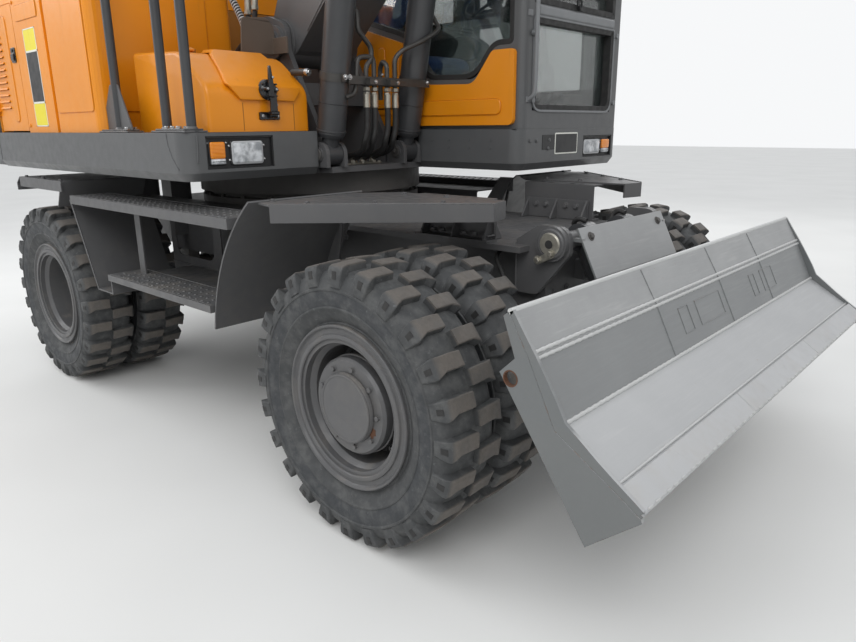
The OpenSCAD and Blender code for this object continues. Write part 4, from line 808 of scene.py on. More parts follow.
class Kit(Build):
    """The same shapes, given in millimetres from the slewing axis."""

    def plate(self, axis, outline, a, b, chamfer=0.0):
        if axis == "x":
            pts = [(p[0] / 1000, p[1] / 1000) for p in outline]
            a, b = (a + SLEW_X) / 1000, (b + SLEW_X) / 1000
        else:
            pts = [((p[0] + SLEW_X) / 1000, p[1] / 1000) for p in outline]
            a, b = a / 1000, b / 1000
        return self.prism(pts, axis, a, b, chamfer / 1000)

    def pipe(self, points, r, reach=0.0, n=12):
        pts = corners(points, reach) if reach else points
        return self.tube([P(*p) for p in pts], r / 1000, n)

    def hose(self, points, r, n=12, steps=7):
        return self.tube(smooth_path([P(*p) for p in points], steps), r / 1000, n)

    def rod(self, a, b, r, n=24, r2=None, chamfer=0.0):
        return self.cyl(P(*a), P(*b), r / 1000, n, None if r2 is None else r2 / 1000, chamfer / 1000)

    def nut(self, at, axis, r=11, h=9, washer=True):
        return self.bolt(P(*at), axis, r / 1000, h / 1000, washer)

    def screw(self, at, axis, r=6, h=4):
        a = Vector(axis).normalized()
        p = P(*at)
        return self.tube([p - a * 0.001, p + a * (h * 0.0006), p + a * (h * 0.001)], 0, 14,
            [r / 1000, r / 1000, r * 0.0006])

    def bead(self, points, r=3.5):
        """Weld bead: a thin rod with a slightly uneven surface."""
        pts = [P(*p) for p in points]
        line = []
        for a, b in zip(pts, pts[1:]):
            k = max(2, int((b - a).length / 0.012))
            line += [a.lerp(b, i / k) for i in range(k)]
        line.append(pts[-1])
        radii = [r / 1000 * (1 + 0.22 * math.sin(i * 2.1)) for i in range(len(line))]
        return self.tube(line, 0, 8, radii)


def bevel(o, width, segments=3, angle=45, above=None):
    """Rounds the sharp edges of a finished piece; above keeps edges lower than that height."""
    bm = bmesh.new()
    bm.from_mesh(o.data)
    sharp = [
        e for e in bm.edges
        if len(e.link_faces) == 2
        and e.calc_face_angle(0) > math.radians(angle)
        and (above is None or max(v.co.z for v in e.verts) + o.location.z > above)
    ]
    bmesh.ops.bevel(bm, geom=sharp, offset=width / 1000, segments=segments, profile=0.5, affect="EDGES",
        clamp_overlap=True)
    bm.to_mesh(o.data)
    bm.free()
    smooth(o)
    return o


def smooth(o, sharp=32):
    o.data.polygons.foreach_set("use_smooth", [True] * len(o.data.polygons))
    o.data.set_sharp_from_angle(angle=math.radians(sharp))


def carve(o, build, operation="DIFFERENCE"):
    """Cuts the shapes of a Build out of a piece, or keeps what they share."""
    mesh = bpy.data.meshes.new("cutter")
    mesh.from_pydata(build.v, [], build.f)
    bm = bmesh.new()
    bm.from_mesh(mesh)
    bmesh.ops.recalc_face_normals(bm, faces=bm.faces)
    bm.to_mesh(mesh)
    bm.free()
    tool = bpy.data.objects.new("cutter", mesh)
    bpy.context.scene.collection.objects.link(tool)
    mod = o.modifiers.new("cut", "BOOLEAN")
    mod.operation = operation
    mod.solver = "EXACT"
    mod.object = tool
    bpy.context.view_layer.update()
    result = bpy.data.meshes.new_from_object(o.evaluated_get(bpy.context.evaluated_depsgraph_get()))
    o.modifiers.clear()
    old = o.data
    o.data = result
    bpy.data.meshes.remove(old)
    bpy.data.objects.remove(tool)
    smooth(o)
    return o


# ---------------------------------------------------------------- toolbox and its lid


def make_toolbox():
    b = Kit()
    b.plate("y", arcs([(0, 1500.3), (640, 1500.3), (640, 1692, 45), (430, 1850, 60), (0, 1870, 25)]), -1058,
        -506)
    body = b.make("toolbox_body", "upper", "body_orange", replaces=["toolbox"])
    bevel(body, 42, 5, 55, above=1.53)
    room = Kit()
    room.box((20, -1036, 1530), (618, -528, 1682))
    room.box((20, -1036, 1680), (412, -528, 1826))
    carve(body, room)
    opening = Kit().plate("x", [(y, z) for y, z in inset(LID, -7)], 400, 700)
    carve(body, opening)
    # Hinge ears, seams and foot strip
    e = Kit()
    for y in (-940, -650):
        for s in (-30, 14):
            e.box((322, y + s, 1846), (334, y + s + 16, 1874), 2)
        e.rod((330, y - 30, 1868), (330, y + 30, 1868), 5, 12)
    for y in (-880, -598):
        e.box((638.5, y - 1.5, 1506), (641, y + 1.5, 1628))
    e.make("toolbox_seams", "upper", "body_orange_dark", "body_orange")
    b = Kit()
    b.box((-4, -1060, 1493), (644, -500, 1501), 2)
    b.make("toolbox_foot_seal", "upper", "black_rubber")

    b = Kit()
    b.plate("y", [(641, 1600), (641, 1691), (431, 1851.5), (342, 1855.6), (342, 1872), (437, 1867.5),
        (657, 1699), (657, 1600)], -1010, -540)
    lid = b.make("toolbox_lid_panel", "toolbox_lid", "body_orange", replaces=["toolbox_lid"])
    carve(lid, Kit().plate("x", LID, 300, 700), "INTERSECT")
    bevel(lid, 5, 3, 25)
    e = Kit()
    for y in (-940, -650):
        e.rod((330, y - 12, 1868), (330, y + 12, 1868), 11, 20)
        e.box((330, y - 12, 1862), (356, y + 12, 1873), 2)
    e.make("toolbox_lid_hinges", "toolbox_lid", "body_orange")

    # Over-centre latch: cup and lever on the lid, catch on the box
    y, z = -752.0, 1684.0
    b = Kit()
    b.rod((654, y, z), (672, y, z + 4), 49, 36, 44, 3)
    b.rod((670, y, z + 3), (676, y, z + 4), 41, 36, 37, 2)
    for k in range(10):
        a = 2 * math.pi * k / 10
        b.box((670, y + 44 * math.cos(a) - 4, z + 44 * math.sin(a) - 4),
            (678, y + 44 * math.cos(a) + 4, z + 44 * math.sin(a) + 4), 2)
    b.plate("x", arcs([(y - 20, z - 30, 10), (y + 16, z - 34, 10), (y + 12, z + 34, 14), (y + 2, z + 104, 5),
        (y - 8, z + 106, 5), (y - 14, z + 20, 8)]), 676, 694, 4)
    b.plate("x", arcs([(y - 6, z - 96, 4), (y + 34, z - 98, 4), (y + 32, z - 10, 8), (y - 2, z - 10, 8)]), 672,
        684, 3)
    b.box((664, y - 8, z - 110), (690, y + 36, z - 92), 4)
    b.rod((676, y - 26, z + 4), (698, y - 26, z + 4), 11, 16, 9, 2)
    b.rod((676, y + 22, z + 2), (698, y + 22, z + 2), 12, 16, 10, 2)
    b.make("toolbox_latch", "toolbox_lid", "black_gloss", "black_plastic")
    b = Kit()
    for dy, dz in ((-26, 4), (22, 2), (4, 54)):
        b.screw((698, y + dy, z + dz), (1, 0, 0), 6, 4)
    b.make("toolbox_latch_rivets", "toolbox_lid", "steel_bright", "rod_chrome")
    b = Kit()
    b.box((639, -797, 1553), (650, -688, 1588), 3)
    b.rod((656, -752, 1572), (656, -708, 1572), 11, 16, chamfer=2)
    b.box((648, -752, 1560), (660, -744, 1584), 2)
    b.box((648, -716, 1560), (660, -708, 1584), 2)
    b.make("toolbox_catch", "upper", "black_gloss", "black_plastic")
    b = Kit()
    for yy in (-781, -699):
        b.screw((650, yy, 1570), (1, 0, 0), 9, 5)
    b.rod((640, -694, 1620), (646, -694, 1620), 4, 12)
    b.make("toolbox_catch_screws", "upper", "steel_bright", "rod_chrome")
    # Stub of a steel tube out of the toolbox's inner side
    b = Kit()
    b.rod((560, -528, 1776), (664, -528, 1772), 16, 20)
    b.make("grease_tube", "upper", "pipe_steel", "cast_grey")
    b = Kit()
    b.rod((662, -528, 1772), (684, -528, 1771), 17.5, 20, chamfer=2)
    b.nut((683, -528, 1771), (1, 0, 0), 11, 7, False)
    b.make("grease_tube_end", "upper", "steel_bright", "rod_chrome")


LID = [
    (-897, 1640), (-602, 1637), (-566, 1684), (-560, 1740), (-572, 1800), (-596, 1828), (-640, 1900),
    (-850, 1900), (-884, 1862), (-908, 1846), (-928, 1775), (-958, 1706),
]
make_toolbox()

# ---------------------------------------------------------------- lamps


def lamp_unit(name, face, y0, y1, z0, z1, clear, amber):
    """Lamp pair in a window of the skirt: face is the skirt's front, clear and amber run along y."""
    b = Kit()
    b.box((face - 52, y0 - 8, z0 - 3), (face - 14, y1 + 8, z1 + 3), 2)
    for lo, hi in (((y0, z0), (y0 + 7, z1)), ((y1 - 7, z0), (y1, z1)), ((y0, z0), (y1, z0 + 6)),
        ((y0, z1 - 9), (y1, z1))):
        b.box((face - 15, lo[0] + 0.5, lo[1] + 0.5), (face - 3, hi[0] - 0.5, hi[1] - 0.5), 1.5)
    b.plate("x", tile(clear[0] - 5, clear[1] + 5, z0 + 12, z1 - 18, 14), face - 16, face - 6, 3)
    b.plate("x", tile(amber[0] - 6, amber[1] + 6, z0 + 14, z1 - 20, 12), face - 16, face - 8, 3)
    b.make(f"{name}_housing", "upper", "black_plastic", replaces=["headlamps"])

    def lens(part, mat, y, z, depth, r):
        k = Kit()
        a, c = (y[0], z[0]), (y[1], z[1])
        rings = []
        for h, d in ((-8, 0), (depth * 0.5, 0), (depth * 0.85, 2.5), (depth, 7)):
            line = tile(a[0] + d, c[0] - d, a[1] + d, c[1] - d, r)
            rings.append([P(face - 8 + h, p[0], p[1]) for p in line])
        k.rings(rings)
        k.make(f"{name}_{part}", "upper", mat, "lamp_lens")

    lens("rim", "lamp_rim", clear, (z0 + 16, z1 - 22), 5, 16)
    lens("clear", "lamp_lens", (clear[0] + 7, clear[1] - 7), (z0 + 23, z1 - 29), 9, 12)
    lens("amber", "amber_lens", amber, (z0 + 44, z1 - 24), 10, 8)
    lens("strip", "lamp_lens", amber, (z0 + 20, z0 + 43), 9, 6)
    b = Kit()
    for y, z in ((clear[0] - 9, z1 - 42), (clear[0] - 9, z0 + 36), (clear[1] + 9, z1 - 42),
        (clear[1] + 9, z0 + 36)):
        b.screw((face - 12, y, z), (1, 0, 0), 5.5, 4)
    for y in (amber[0] - 11, amber[1] + 11):
        b.screw((face - 12, y, z1 - 28), (1, 0, 0), 4.5, 4)
    b.make(f"{name}_screws", "upper", "steel_bright", "rod_chrome")


lamp_unit("lamp_right", 700, -1117, -770, 1345, 1484, (-990, -826), (-1096, -1024))
lamp_unit("lamp_left", 1404, 820, 1148, 1342, 1460, (838, 1018), (1040, 1124))


def roof_lamps():
    b, lens = Kit(), Kit()
    for y in (281, 980):
        b.plate("y", arcs([(1232, 3120.3), (1286, 3120.3), (1290, 3134), (1290, 3196, 8), (1278, 3209, 10),
            (1240, 3200, 20), (1232, 3160)]), y + 3, y + 157, 6)
        b.box((1240, y + 60, 3118), (1276, y + 100, 3124), 1)
        lens.plate("x", tile(y + 14, y + 146, 3142, 3194, 10), 1286, 1289.5, 2)
    b.make("roof_lamp_bodies", "upper", "black_plastic", replaces=["headlamps"])
    lens.make("roof_lamp_lenses", "upper", "lamp_lens")


roof_lamps()

# ---------------------------------------------------------------- pipes and hoses at the boom's foot


def boom_root():
    steel, zinc, bright = Kit(), Kit(), Kit()
    # Bar across both cylinders, with its bands round the barrels
    bar_x = 838
    steel.plate("y", [(bar_x - 4, 1716), (bar_x + 4, 1716), (bar_x + 4, 1754), (bar_x - 4, 1754)], -418, 156, 1)
    lean = Vector((math.cos(math.radians(BARREL_LEAN)), 0, math.sin(math.radians(BARREL_LEAN))))
    for y in BARREL_Y:
        mid = P(756, y, 1752)
        steel.revolve([(0.0712, -0.019), (0.0755, -0.019), (0.0755, 0.019), (0.0712, 0.019), (0.0712, -0.019)],
            mid, lean, 48)
    for y0, y1 in ((-452, -440), (-424, -412)):
        steel.box((828, y0, 1722), (852, y1, 1760), 2)
    for y in (-446, -418):
        bright.nut((852, y, 1745), (1, 0, 0), 9, 8)
    bright.nut((842, 140, 1740), (1, 0, 0), 9, 8)
    bright.nut((842, -196, 1764), (0, 0, 1), 7, 6)
    # Clamp blocks in front of the bar
    for y0, y1 in ((-306, -228), (-168, -58)):
        steel.box((bar_x + 4, y0, 1712), (bar_x + 34, y1, 1746), 4)
        steel.box((bar_x - 34, y0, 1712), (bar_x - 4, y1, 1746), 4)
        bright.nut(((bar_x + 34), (y0 + y1) / 2, 1729), (1, 0, 0), 7, 6)
    # Steel pipes
    ends = ((-284, -230), (-140, -84))
    x = 820
    y_a, y_b, y_c, y_d = ends[0] + ends[1]
    steel.pipe([(x - 8, -348, 2052), (x - 4, -330, 2048), (x, -330, 2010), (x, -330, 1965), (x, -284, 1925),
        (x, y_a + 40, 1890), (x, y_a + 40, 1840), (x, y_a, 1800), (x, y_a, 1700)], 12, 30, 14)
    steel.pipe([(x - 14, -412, 1655), (x - 12, -352, 1672), (x - 10, -340, 1720), (x - 5, -334, 1842),
        (x, y_b, 1850), (x, y_b, 1700)], 12, 34, 14)
    steel.pipe([(x - 60, y_c + 10, 1650), (x - 60, y_c + 10, 1800), (x - 30, y_c, 1836), (x, y_c, 1816),
        (x, y_c, 1700)], 12, 22, 14)
    steel.pipe([(x - 6, 196, 2092), (x - 4, 205, 2088), (x + 22, 207, 2048), (x + 54, 200, 2012),
        (x + 68, 158, 1986), (x + 62, 60, 1938), (x + 20, -44, 1892), (x, y_d, 1850), (x, y_d, 1700)], 12, 30,
        14)
    for y0, y1, z in ((-356.5, -344, 2052), (187.5, 200, 2092)):
        steel.rod((x - 6, y0, z), (x - 6, y1, z), 20, 20, chamfer=2)
    # Ferrules with their nuts, then the hoses that hang down and run back to the swivel
    for y in ends[0] + ends[1]:
        zinc.nut((x, y, 1706), (0, 0, -1), 19, 17, False)
        zinc.nut((x, y, 1684), (0, 0, -1), 17, 12, False)
        zinc.rod((x, y, 1676), (x, y, 1608), 17, 24, chamfer=3)
        zinc.rod((x, y, 1668), (x, y, 1664), 18.4, 24)
        zinc.rod((x, y, 1622), (x, y, 1618), 18.4, 24)
    b = Kit()
    targets = ((600, -260, 1352), (600, -190, 1352), (600, -120, 1352), (600, -50, 1352))
    for y, t in zip(ends[0] + ends[1], targets):
        b.hose([(x, y, 1640), (x, y, 1560), (x - 3, y - 2, 1500), (x - 14, y - 8, 1450),
            (x - 50, (2 * y + t[1]) / 3, 1408), (x - 110, (y + 2 * t[1]) / 3, 1384), (t[0] + 50, t[1], 1372),
            (t[0], t[1], t[2])], 15, 14, 8)
    o = b.make("boom_root_hoses", None, "black_rubber", replaces=["boom_hoses"])
    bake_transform(o)
    steel.make("boom_root_pipes", "boom_barrels", "pipe_steel", "cast_grey")
    zinc.make("boom_root_ferrules", "boom_barrels", "zinc", "rod_chrome")
    bright.make("boom_root_bolts", "boom_barrels", "steel_bright", "rod_chrome")
    # Fittings on the deck where the hoses end
    z = Kit()
    for t in targets:
        z.nut((t[0], t[1], 1326), (0, 0, 1), 21, 16, False)
        z.rod((t[0], t[1], 1340), (t[0], t[1], 1362), 17, 20, chamfer=2)
    z.box((560, -296, 1325), (640, -14, 1331), 1)
    for y in (-276, -155, -34):
        z.nut((636, y, 1331), (0, 0, 1), 8, 6)
    z.make("hose_deck_fittings", "upper", "zinc", "rod_chrome")
    # Spiral-guarded hose and fittings beside the boom's foot plate
    b = Kit()
    path = smooth_path([P(*p) for p in ((440, -352, 2390), (420, -385, 2440), (330, -420, 2500),
        (150, -440, 2530), (-20, -448, 2490), (-110, -452, 2410), (-110, -456, 2320), (-60, -462, 2240),
        (10, -466, 2150), (70, -470, 2070), (110, -474, 1990), (120, -476, 1900), (110, -478, 1800))], 12)
    b.tube(path, 0.015, 14)
    for x0, y0, z0 in ((150, -482, 2090), (196, -470, 2110)):
        b.hose([(x0 + 10, y0, z0 + 190), (x0 + 26, y0 + 4, z0 + 240), (x0 + 90, y0 + 20, z0 + 300),
            (x0 + 190, y0 + 60, z0 + 290), (x0 + 236, y0 + 118, z0 + 250)], 14)
    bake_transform(b.make("guarded_hose", None, "black_rubber"))
    b = Kit()
    b.rod((440, -344, 2390), (440, -360, 2390), 24, 24, chamfer=3)
    b.rod((386, -344, 2340), (386, -360, 2340), 22, 24, chamfer=3)
    b.rod((432, -344, 2360 - 34), (432, -360, 2360 - 34), 22, 24, chamfer=3)
    b.make("boom_side_unions", "boom", "zinc", "rod_chrome")
    b = Kit()
    turns, coil = 70, []
    side = Vector((0, 1, 0))
    for k in range(turns * 12):
        t = k / (turns * 12 - 1) * (len(path) - 1)
        i = min(int(t), len(path) - 2)
        p = path[i].lerp(path[i + 1], t - i)
        d = (path[i + 1] - path[i]).normalized()
        u = d.cross(side).normalized()
        a = 2 * math.pi * k / 12
        coil.append(p + (side * math.cos(a) + u * math.sin(a)) * 0.0165)
    b.tube(coil, 0.0036, 6)
    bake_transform(b.make("hose_spiral", None, "spiral_white", "lamp_lens"))
    b = Kit()
    for x0, y0, z0 in ((150, -482, 2100), (196, -470, 2120)):
        b.rod((x0, y0, z0), (x0 + 6, y0, z0 + 90), 17, 20, chamfer=3)
        b.nut((x0, y0, z0 + 4), (0, 0, -1), 20, 20, False)
        b.nut((x0 + 7, y0, z0 + 92), (0, 0, 1), 20, 16, False)
    b.make("foot_fittings", "upper", "zinc", "rod_chrome")
    b = Kit()
    for x0, y0, z0 in ((150, -482, 2090), (196, -470, 2110)):
        b.hose([(x0, y0, z0 - 10), (x0 - 16, y0, z0 - 70), (x0 - 60, y0 + 6, z0 - 130),
            (x0 - 150, y0 + 12, z0 - 180), (x0 - 250, y0 + 18, z0 - 260), (x0 - 280, y0 + 20, 1600),
            (x0 - 280, y0 + 20, 1326)], 14)
    b.make("foot_hoses", "upper", "black_rubber")
    # Brown bracket plate with rounded corners, on a standoff from the frame plate
    b = Kit()
    b.plate("x", arcs([(-642, 1880), (-436, 1880), (-436, 2014, 34), (-480, 2056, 30), (-628, 2044, 20)]), 296,
        303, 1.5)
    b.box((300, -450, 1880), (420, -440, 1960), 2)
    b.make("foot_bracket", "upper", "bracket_brown", "cast_grey")


boom_root()

# ---------------------------------------------------------------- upper structure, right side


def handrail_details():
    b = Kit()
    b.box((-232, -1192, 1500.5), (142, -1112, 1508), 2)
    b.box((-196, -1184, 1508), (112, -1118, 1515), 2)
    b.plate("y", arcs([(-206, 1514), (118, 1514), (10, 1724, 12), (-70, 1726, 12)]), -1156, -1148, 1)
    b.box((402, -1206, 1500.6), (694, -1098, 1509), 2)
    b.box((424, -1196, 1509), (672, -1106, 1517), 2)
    for x, z in ((-16, 1516), (447, 1517), (655, 1517)):
        b.rod((x, -1150, z - 4), (x, -1150, z + 10), 27, 24, 23, 3)
    b.make("handrail_feet", "upper", "chassis_grey")
    b = Kit()
    for x in (-180, 96):
        for y in (-1172, -1130):
            b.nut((x, y, 1515), (0, 0, 1), 10, 9)
    for x in (500, 600, 552):
        for y in (-1182, -1120):
            b.nut((x, y, 1517), (0, 0, 1), 10, 9)
    b.make("handrail_foot_bolts", "upper", "steel_bright", "rod_chrome")
    b = Kit()
    b.plate("x", tile(-1318, -1132, 2262, 2588, 30), 695, 698, 1)
    b.plate("x", tile(1182, 1338, 2362, 2688, 24), 1423, 1426, 1)
    b.make("mirror_faces", "upper", "mirror_glass")


def side_band():
    for part, mat, z0, z1 in (("top", "stripe_yellow", 1932, 2046), ("middle", "stripe_black", 1662, 1932),
        ("foot", "stripe_yellow", 1540, 1662)):
        Kit().plate("y", [(-976, z0), (-812, z0), (-812, z1), (-976, z1)], -1195.9,
            -1194.8).make(f"band_{part}", "upper", mat)
    b = Kit()
    for x0, x1, z0, z1 in ((-982, -976, 1534, 2052), (-812, -806, 1534, 2052), (-982, -806, 1534, 1540),
        (-982, -806, 2046, 2052), (-982, -806, 1658, 1668), (-982, -806, 1928, 1938)):
        b.plate("y", [(x0, z0), (x1, z0), (x1, z1), (x0, z1)], -1196.4, -1194.8)
    b.make("band_edge", "upper", "stripe_white")


def door_details():
    """Latches, grille screens and ribs of the doors on both sides."""
    for side, s in (("right", -1), ("left", 1)):
        body = f"side_door_{side}"
        b = Kit()
        b.box((-1524, s * 1168, 1632), (-1346, s * 1172, 2062))
        b.make(f"door_screen_{side}", body, "grille_dark")
        b = Kit()
        for k in range(12):
            z = 1640 + 36 * k
            b.plate("x", [(s * 1170, z + 16), (s * 1194, z + 16), (s * 1206, z + 2), (s * 1203, z),
                (s * 1190, z + 12), (s * 1170, z + 12)], -1520, -1350)
        b.make(f"door_louvres_{side}", body, "body_orange")
        b = Kit()
        b.plate("y", tile(-1206, -1140, 1890, 1972, 12), s * 1194, s * 1201, 2)
        b.plate("y", tile(-1196, -1150, 1900, 1940, 8), s * 1200, s * 1208, 3)
        b.rod((-1173, s * 1200, 1957), (-1173, s * 1206, 1957), 9, 16, chamfer=1.5)
        b.make(f"door_latch_{side}", body, "black_gloss", "black_plastic")
        b = Kit()
        b.plate("y", tile(-1310, -1230, 1560, 2150, 40), s * 1193, s * 1199, 5)
        b.make(f"door_rib_{side}", body, "body_orange")
    for side, s in (("right", -1), ("left", 1)):
        b = Kit()
        b.plate("y", tile(-1062, -740, 2096, 2180, 18), s * 1193, s * 1200, 4)
        b.rod((-1085, s * 1194, 2200), (-1085, s * 1201, 2200), 10, 16, chamfer=2)
        b.rod((-1085, s * 1194, 1540), (-1085, s * 1201, 1540), 10, 16, chamfer=2)
        b.make(f"panel_rib_{side}", "upper", "body_orange")
    b = Kit()
    b.plate("y", [(-1110, 1502), (-1104, 1502), (-1104, 2239), (-1110, 2239)], -1190, -1186)
    b.make("panel_seam", "upper", "grille_dark")


def tank_details():
    b = Kit()
    b.plate("y", arcs([(-640, 1600, 30), (-180, 1600, 30), (-180, 2200, 60), (-640, 2200, 60)]), -1194, -1199,
        4)
    b.plate("x", arcs([(-1110, 1600, 30), (-560, 1600, 30), (-560, 2230, 60), (-1110, 2230, 60)]), -135.5, -130,
        4)
    b.make("tank_panels", "upper", "body_orange")
    b = Kit()
    b.rod((-300, -900, 2349), (-300, -900, 2376), 58, 32, 54, 4)
    for k in range(8):
        a = math.pi / 4 * k
        b.rod((-300 + 54 * math.cos(a), -900 + 54 * math.sin(a), 2352),
            (-300 + 54 * math.cos(a), -900 + 54 * math.sin(a), 2374), 8, 10)
    b.box((-340, -908, 2374), (-260, -892, 2386), 3)
    b.make("tank_cap", "upper", "black_plastic")
    b = Kit()
    b.hose([(-128, -640, 1540), (-100, -640, 1528), (-60, -600, 1522), (0, -520, 1520)], 11)
    b.hose([(-128, -560, 1620), (-100, -560, 1612), (-70, -540, 1560), (-30, -480, 1530)], 14)
    b.make("tank_hoses", "upper", "black_rubber")
    b = Kit()
    for y, z in ((-640, 1540), (-560, 1620)):
        b.nut((-134, y, z), (1, 0, 0), 19, 12)
    b.make("tank_fittings", "upper", "zinc")


def skirt_details():
    """Welds, bolts, blank plates and seals of the skirts."""
    b = Kit()
    b.bead([(699.5, -1155, 1490), (700, -1158, 1430), (699.5, -1162, 1376)], 4)
    b.bead([(560, -1220.5, 1499), (566, -1220.5, 1450), (590, -1220.5, 1400), (640, -1220.5, 1345)], 2.2)
    b.bead([(-1595, -1219.5, 1498), (-1595, -1219.5, 1335)], 3)
    b.make("skirt_welds", "upper", "skirt_grey")
    b = Kit()
    for y, z in ((290, 1442), (350, 1442), (460, 1400), (470, 1442)):
        b.nut((1404, y, z), (1, 0, 0), 8, 5)
    for x in (820, 945, 1085, 1225):
        for z in (1445, 1405):
            b.rod((x, 194.5, z), (x, 192, z), 6, 12)
    b.make("skirt_bolts", "upper", "skirt_grey")
    b = Kit()
    b.plate("x", tile(404, 520, 1394, 1470, 4), 1403.5, 1406, 0.6)
    b.make("blank_plate", "upper", "stripe_black")
    b = Kit()
    b.plate("x", tile(526, 756, 1368, 1479, 8), 1403.5, 1405.5, 0.6)
    b.make("blank_sign_rim", "upper", "stripe_white")
    b = Kit()
    b.plate("x", tile(533, 749, 1375, 1472, 5), 1405, 1406.3, 0.4)
    b.make("blank_sign_face", "upper", "stripe_black")
    # Rubber seals between the skirt and what stands on it
    b = Kit()
    b.box((-1590, -1190, 1497), (-140, -1182, 1502), 1)
    b.box((-340, 196, 1497), (1380, 214, 1501), 1)
    b.make("skirt_seals", "upper", "black_rubber")


def hood_details():
    b = Kit()
    b.box((-1502, -622, 2396), (-930, 622, 2399))
    b.make("hood_screen", "upper", "grille_dark")
    b = Kit()
    for x in (-1740, -700):
        b.box((x - 4, -1080, 2380), (x + 4, 1080, 2421 if x > -1000 else 2400), 2)
    for y in (-700, 700):
        b.plate("z", tile(-1620, -800, y - 8, y + 8, 4), 2419.5, 2425, 2)
    b.make("hood_ribs", "upper", "body_orange")
    b = Kit()
    for y in (-420, 420):
        b.pipe([(-1690, y - 70, 2412), (-1690, y - 70, 2462), (-1690, y + 70, 2462), (-1690, y + 70, 2412)], 9,
            24, 12)
    for x in (-860, -1560):
        for y in (-1000, 1000):
            b.rod((x, y, 2418), (x, y, 2426), 15, 20, 13, 2)
    b.make("hood_handles", "upper", "black_gloss", "black_plastic")
    # Clamp of the exhaust
    b = Kit()
    b.rod((-1300, 700, 2446), (-1300, 700, 2462), 64, 40, chamfer=2)
    b.box((-1240, 690, 2448), (-1220, 710, 2460), 2)
    b.nut((-1230, 710, 2454), (0, 1, 0), 8, 7)
    b.make("exhaust_clamp", "upper", "steel_bright")
    # Counterweight: lifting eyes, lamps, reflectors and round plugs
    def tail(a, r=2250.0):
        return r * math.cos(math.radians(a)), r * math.sin(math.radians(a))

    b = Kit()
    for y in (-640, 640):
        b.rod((-1980, y, 2256), (-1980, y, 2290), 46, 32, 40, 4)
        b.tube([P(-1980 + 34 * math.cos(t), y, 2300 + 34 * math.sin(t)) for t in (2 * math.pi * k / 24
            for k in range(25))], 0.012, 10)
    b.make("lifting_eyes", "upper", "cast_grey")
    b, lamp, amber = Kit(), Kit(), Kit()
    for s in (-1, 1):
        for a0, a1, kit, z0, z1, out in ((152.4, 157.4, b, 1540, 1720, 9), (152.8, 157.0, lamp, 1632, 1712, 16),
            (152.8, 157.0, amber, 1548, 1628, 16)):
            line = [tail(a0 + (a1 - a0) * k / 8, 2249 + out) for k in range(9)] + [tail(a1 - (a1 - a0) * k / 8,
                2244) for k in range(9)]
            kit.plate("z", [(x, s * y) for x, y in line], z0, z1, 3)
    b.make("tail_lamp_housings", "upper", "black_plastic")
    lamp.make("tail_lamps_red", "upper", "red_lens")
    amber.make("tail_lamps_amber", "upper", "amber_lens")
    b = Kit()
    for k in range(14):
        a = 160.5 + 39 * k / 13
        x0, y0 = tail(a - 1.2, 2251.2)
        x1, y1 = tail(a + 1.2, 2251.2)
        x2, y2 = tail(a + 1.2, 2246)
        x3, y3 = tail(a - 1.2, 2246)
        if k % 2 == 0:
            b.plate("z", [(x0, y0), (x1, y1), (x2, y2), (x3, y3)], 1600, 1640)
    b.make("tail_reflectors", "upper", "amber_lens")
    b = Kit()
    for a in (168, 180, 192):
        x, y = tail(a, 2249)
        b.rod((x + 50, y, 1420), (x + 14, y, 1420), 34, 30, 30, 3)
    b.make("tail_plugs", "upper", "skirt_grey")


handrail_details()
side_band()
door_details()
tank_details()
skirt_details()
hood_details()

# ---------------------------------------------------------------- cab


def border(kit, axis, outline, width, a, b):
    """Frame that runs along the inside of an outline."""
    chamfer = 2.0
    inner = inset(outline, width)
    n = len(outline)
    order = {"x": lambda h, p: P(h, p[0], p[1]), "y": lambda h, p: P(p[0], h, p[1])}[axis]
    c = chamfer if b > a else -chamfer
    mid_out, mid_in = inset(outline, chamfer), inset(outline, width - chamfer)
    rings = [
        [order(a, p) for p in outline], [order(b - c, p) for p in outline], [order(b, p) for p in mid_out],
        [order(b, p) for p in mid_in], [order(b - c, p) for p in inner], [order(a, p) for p in inner],
    ]
    faces, verts = [], [p for r in rings for p in r]
    for i in range(6):
        p, q = i * n, ((i + 1) % 6) * n
        for k in range(n):
            faces.append([p + k, p + (k + 1) % n, q + (k + 1) % n, q + k])
    kit.add(verts, faces)


SIDE_WINDOW = [
    (277, 2087, 30), (613, 1986, 60), (775, 1760, 60), (1100, 1749, 80), (1225, 1903, 40), (1340, 1903, 30),
    (1340, 2980, 60), (277, 2980, 60),
]


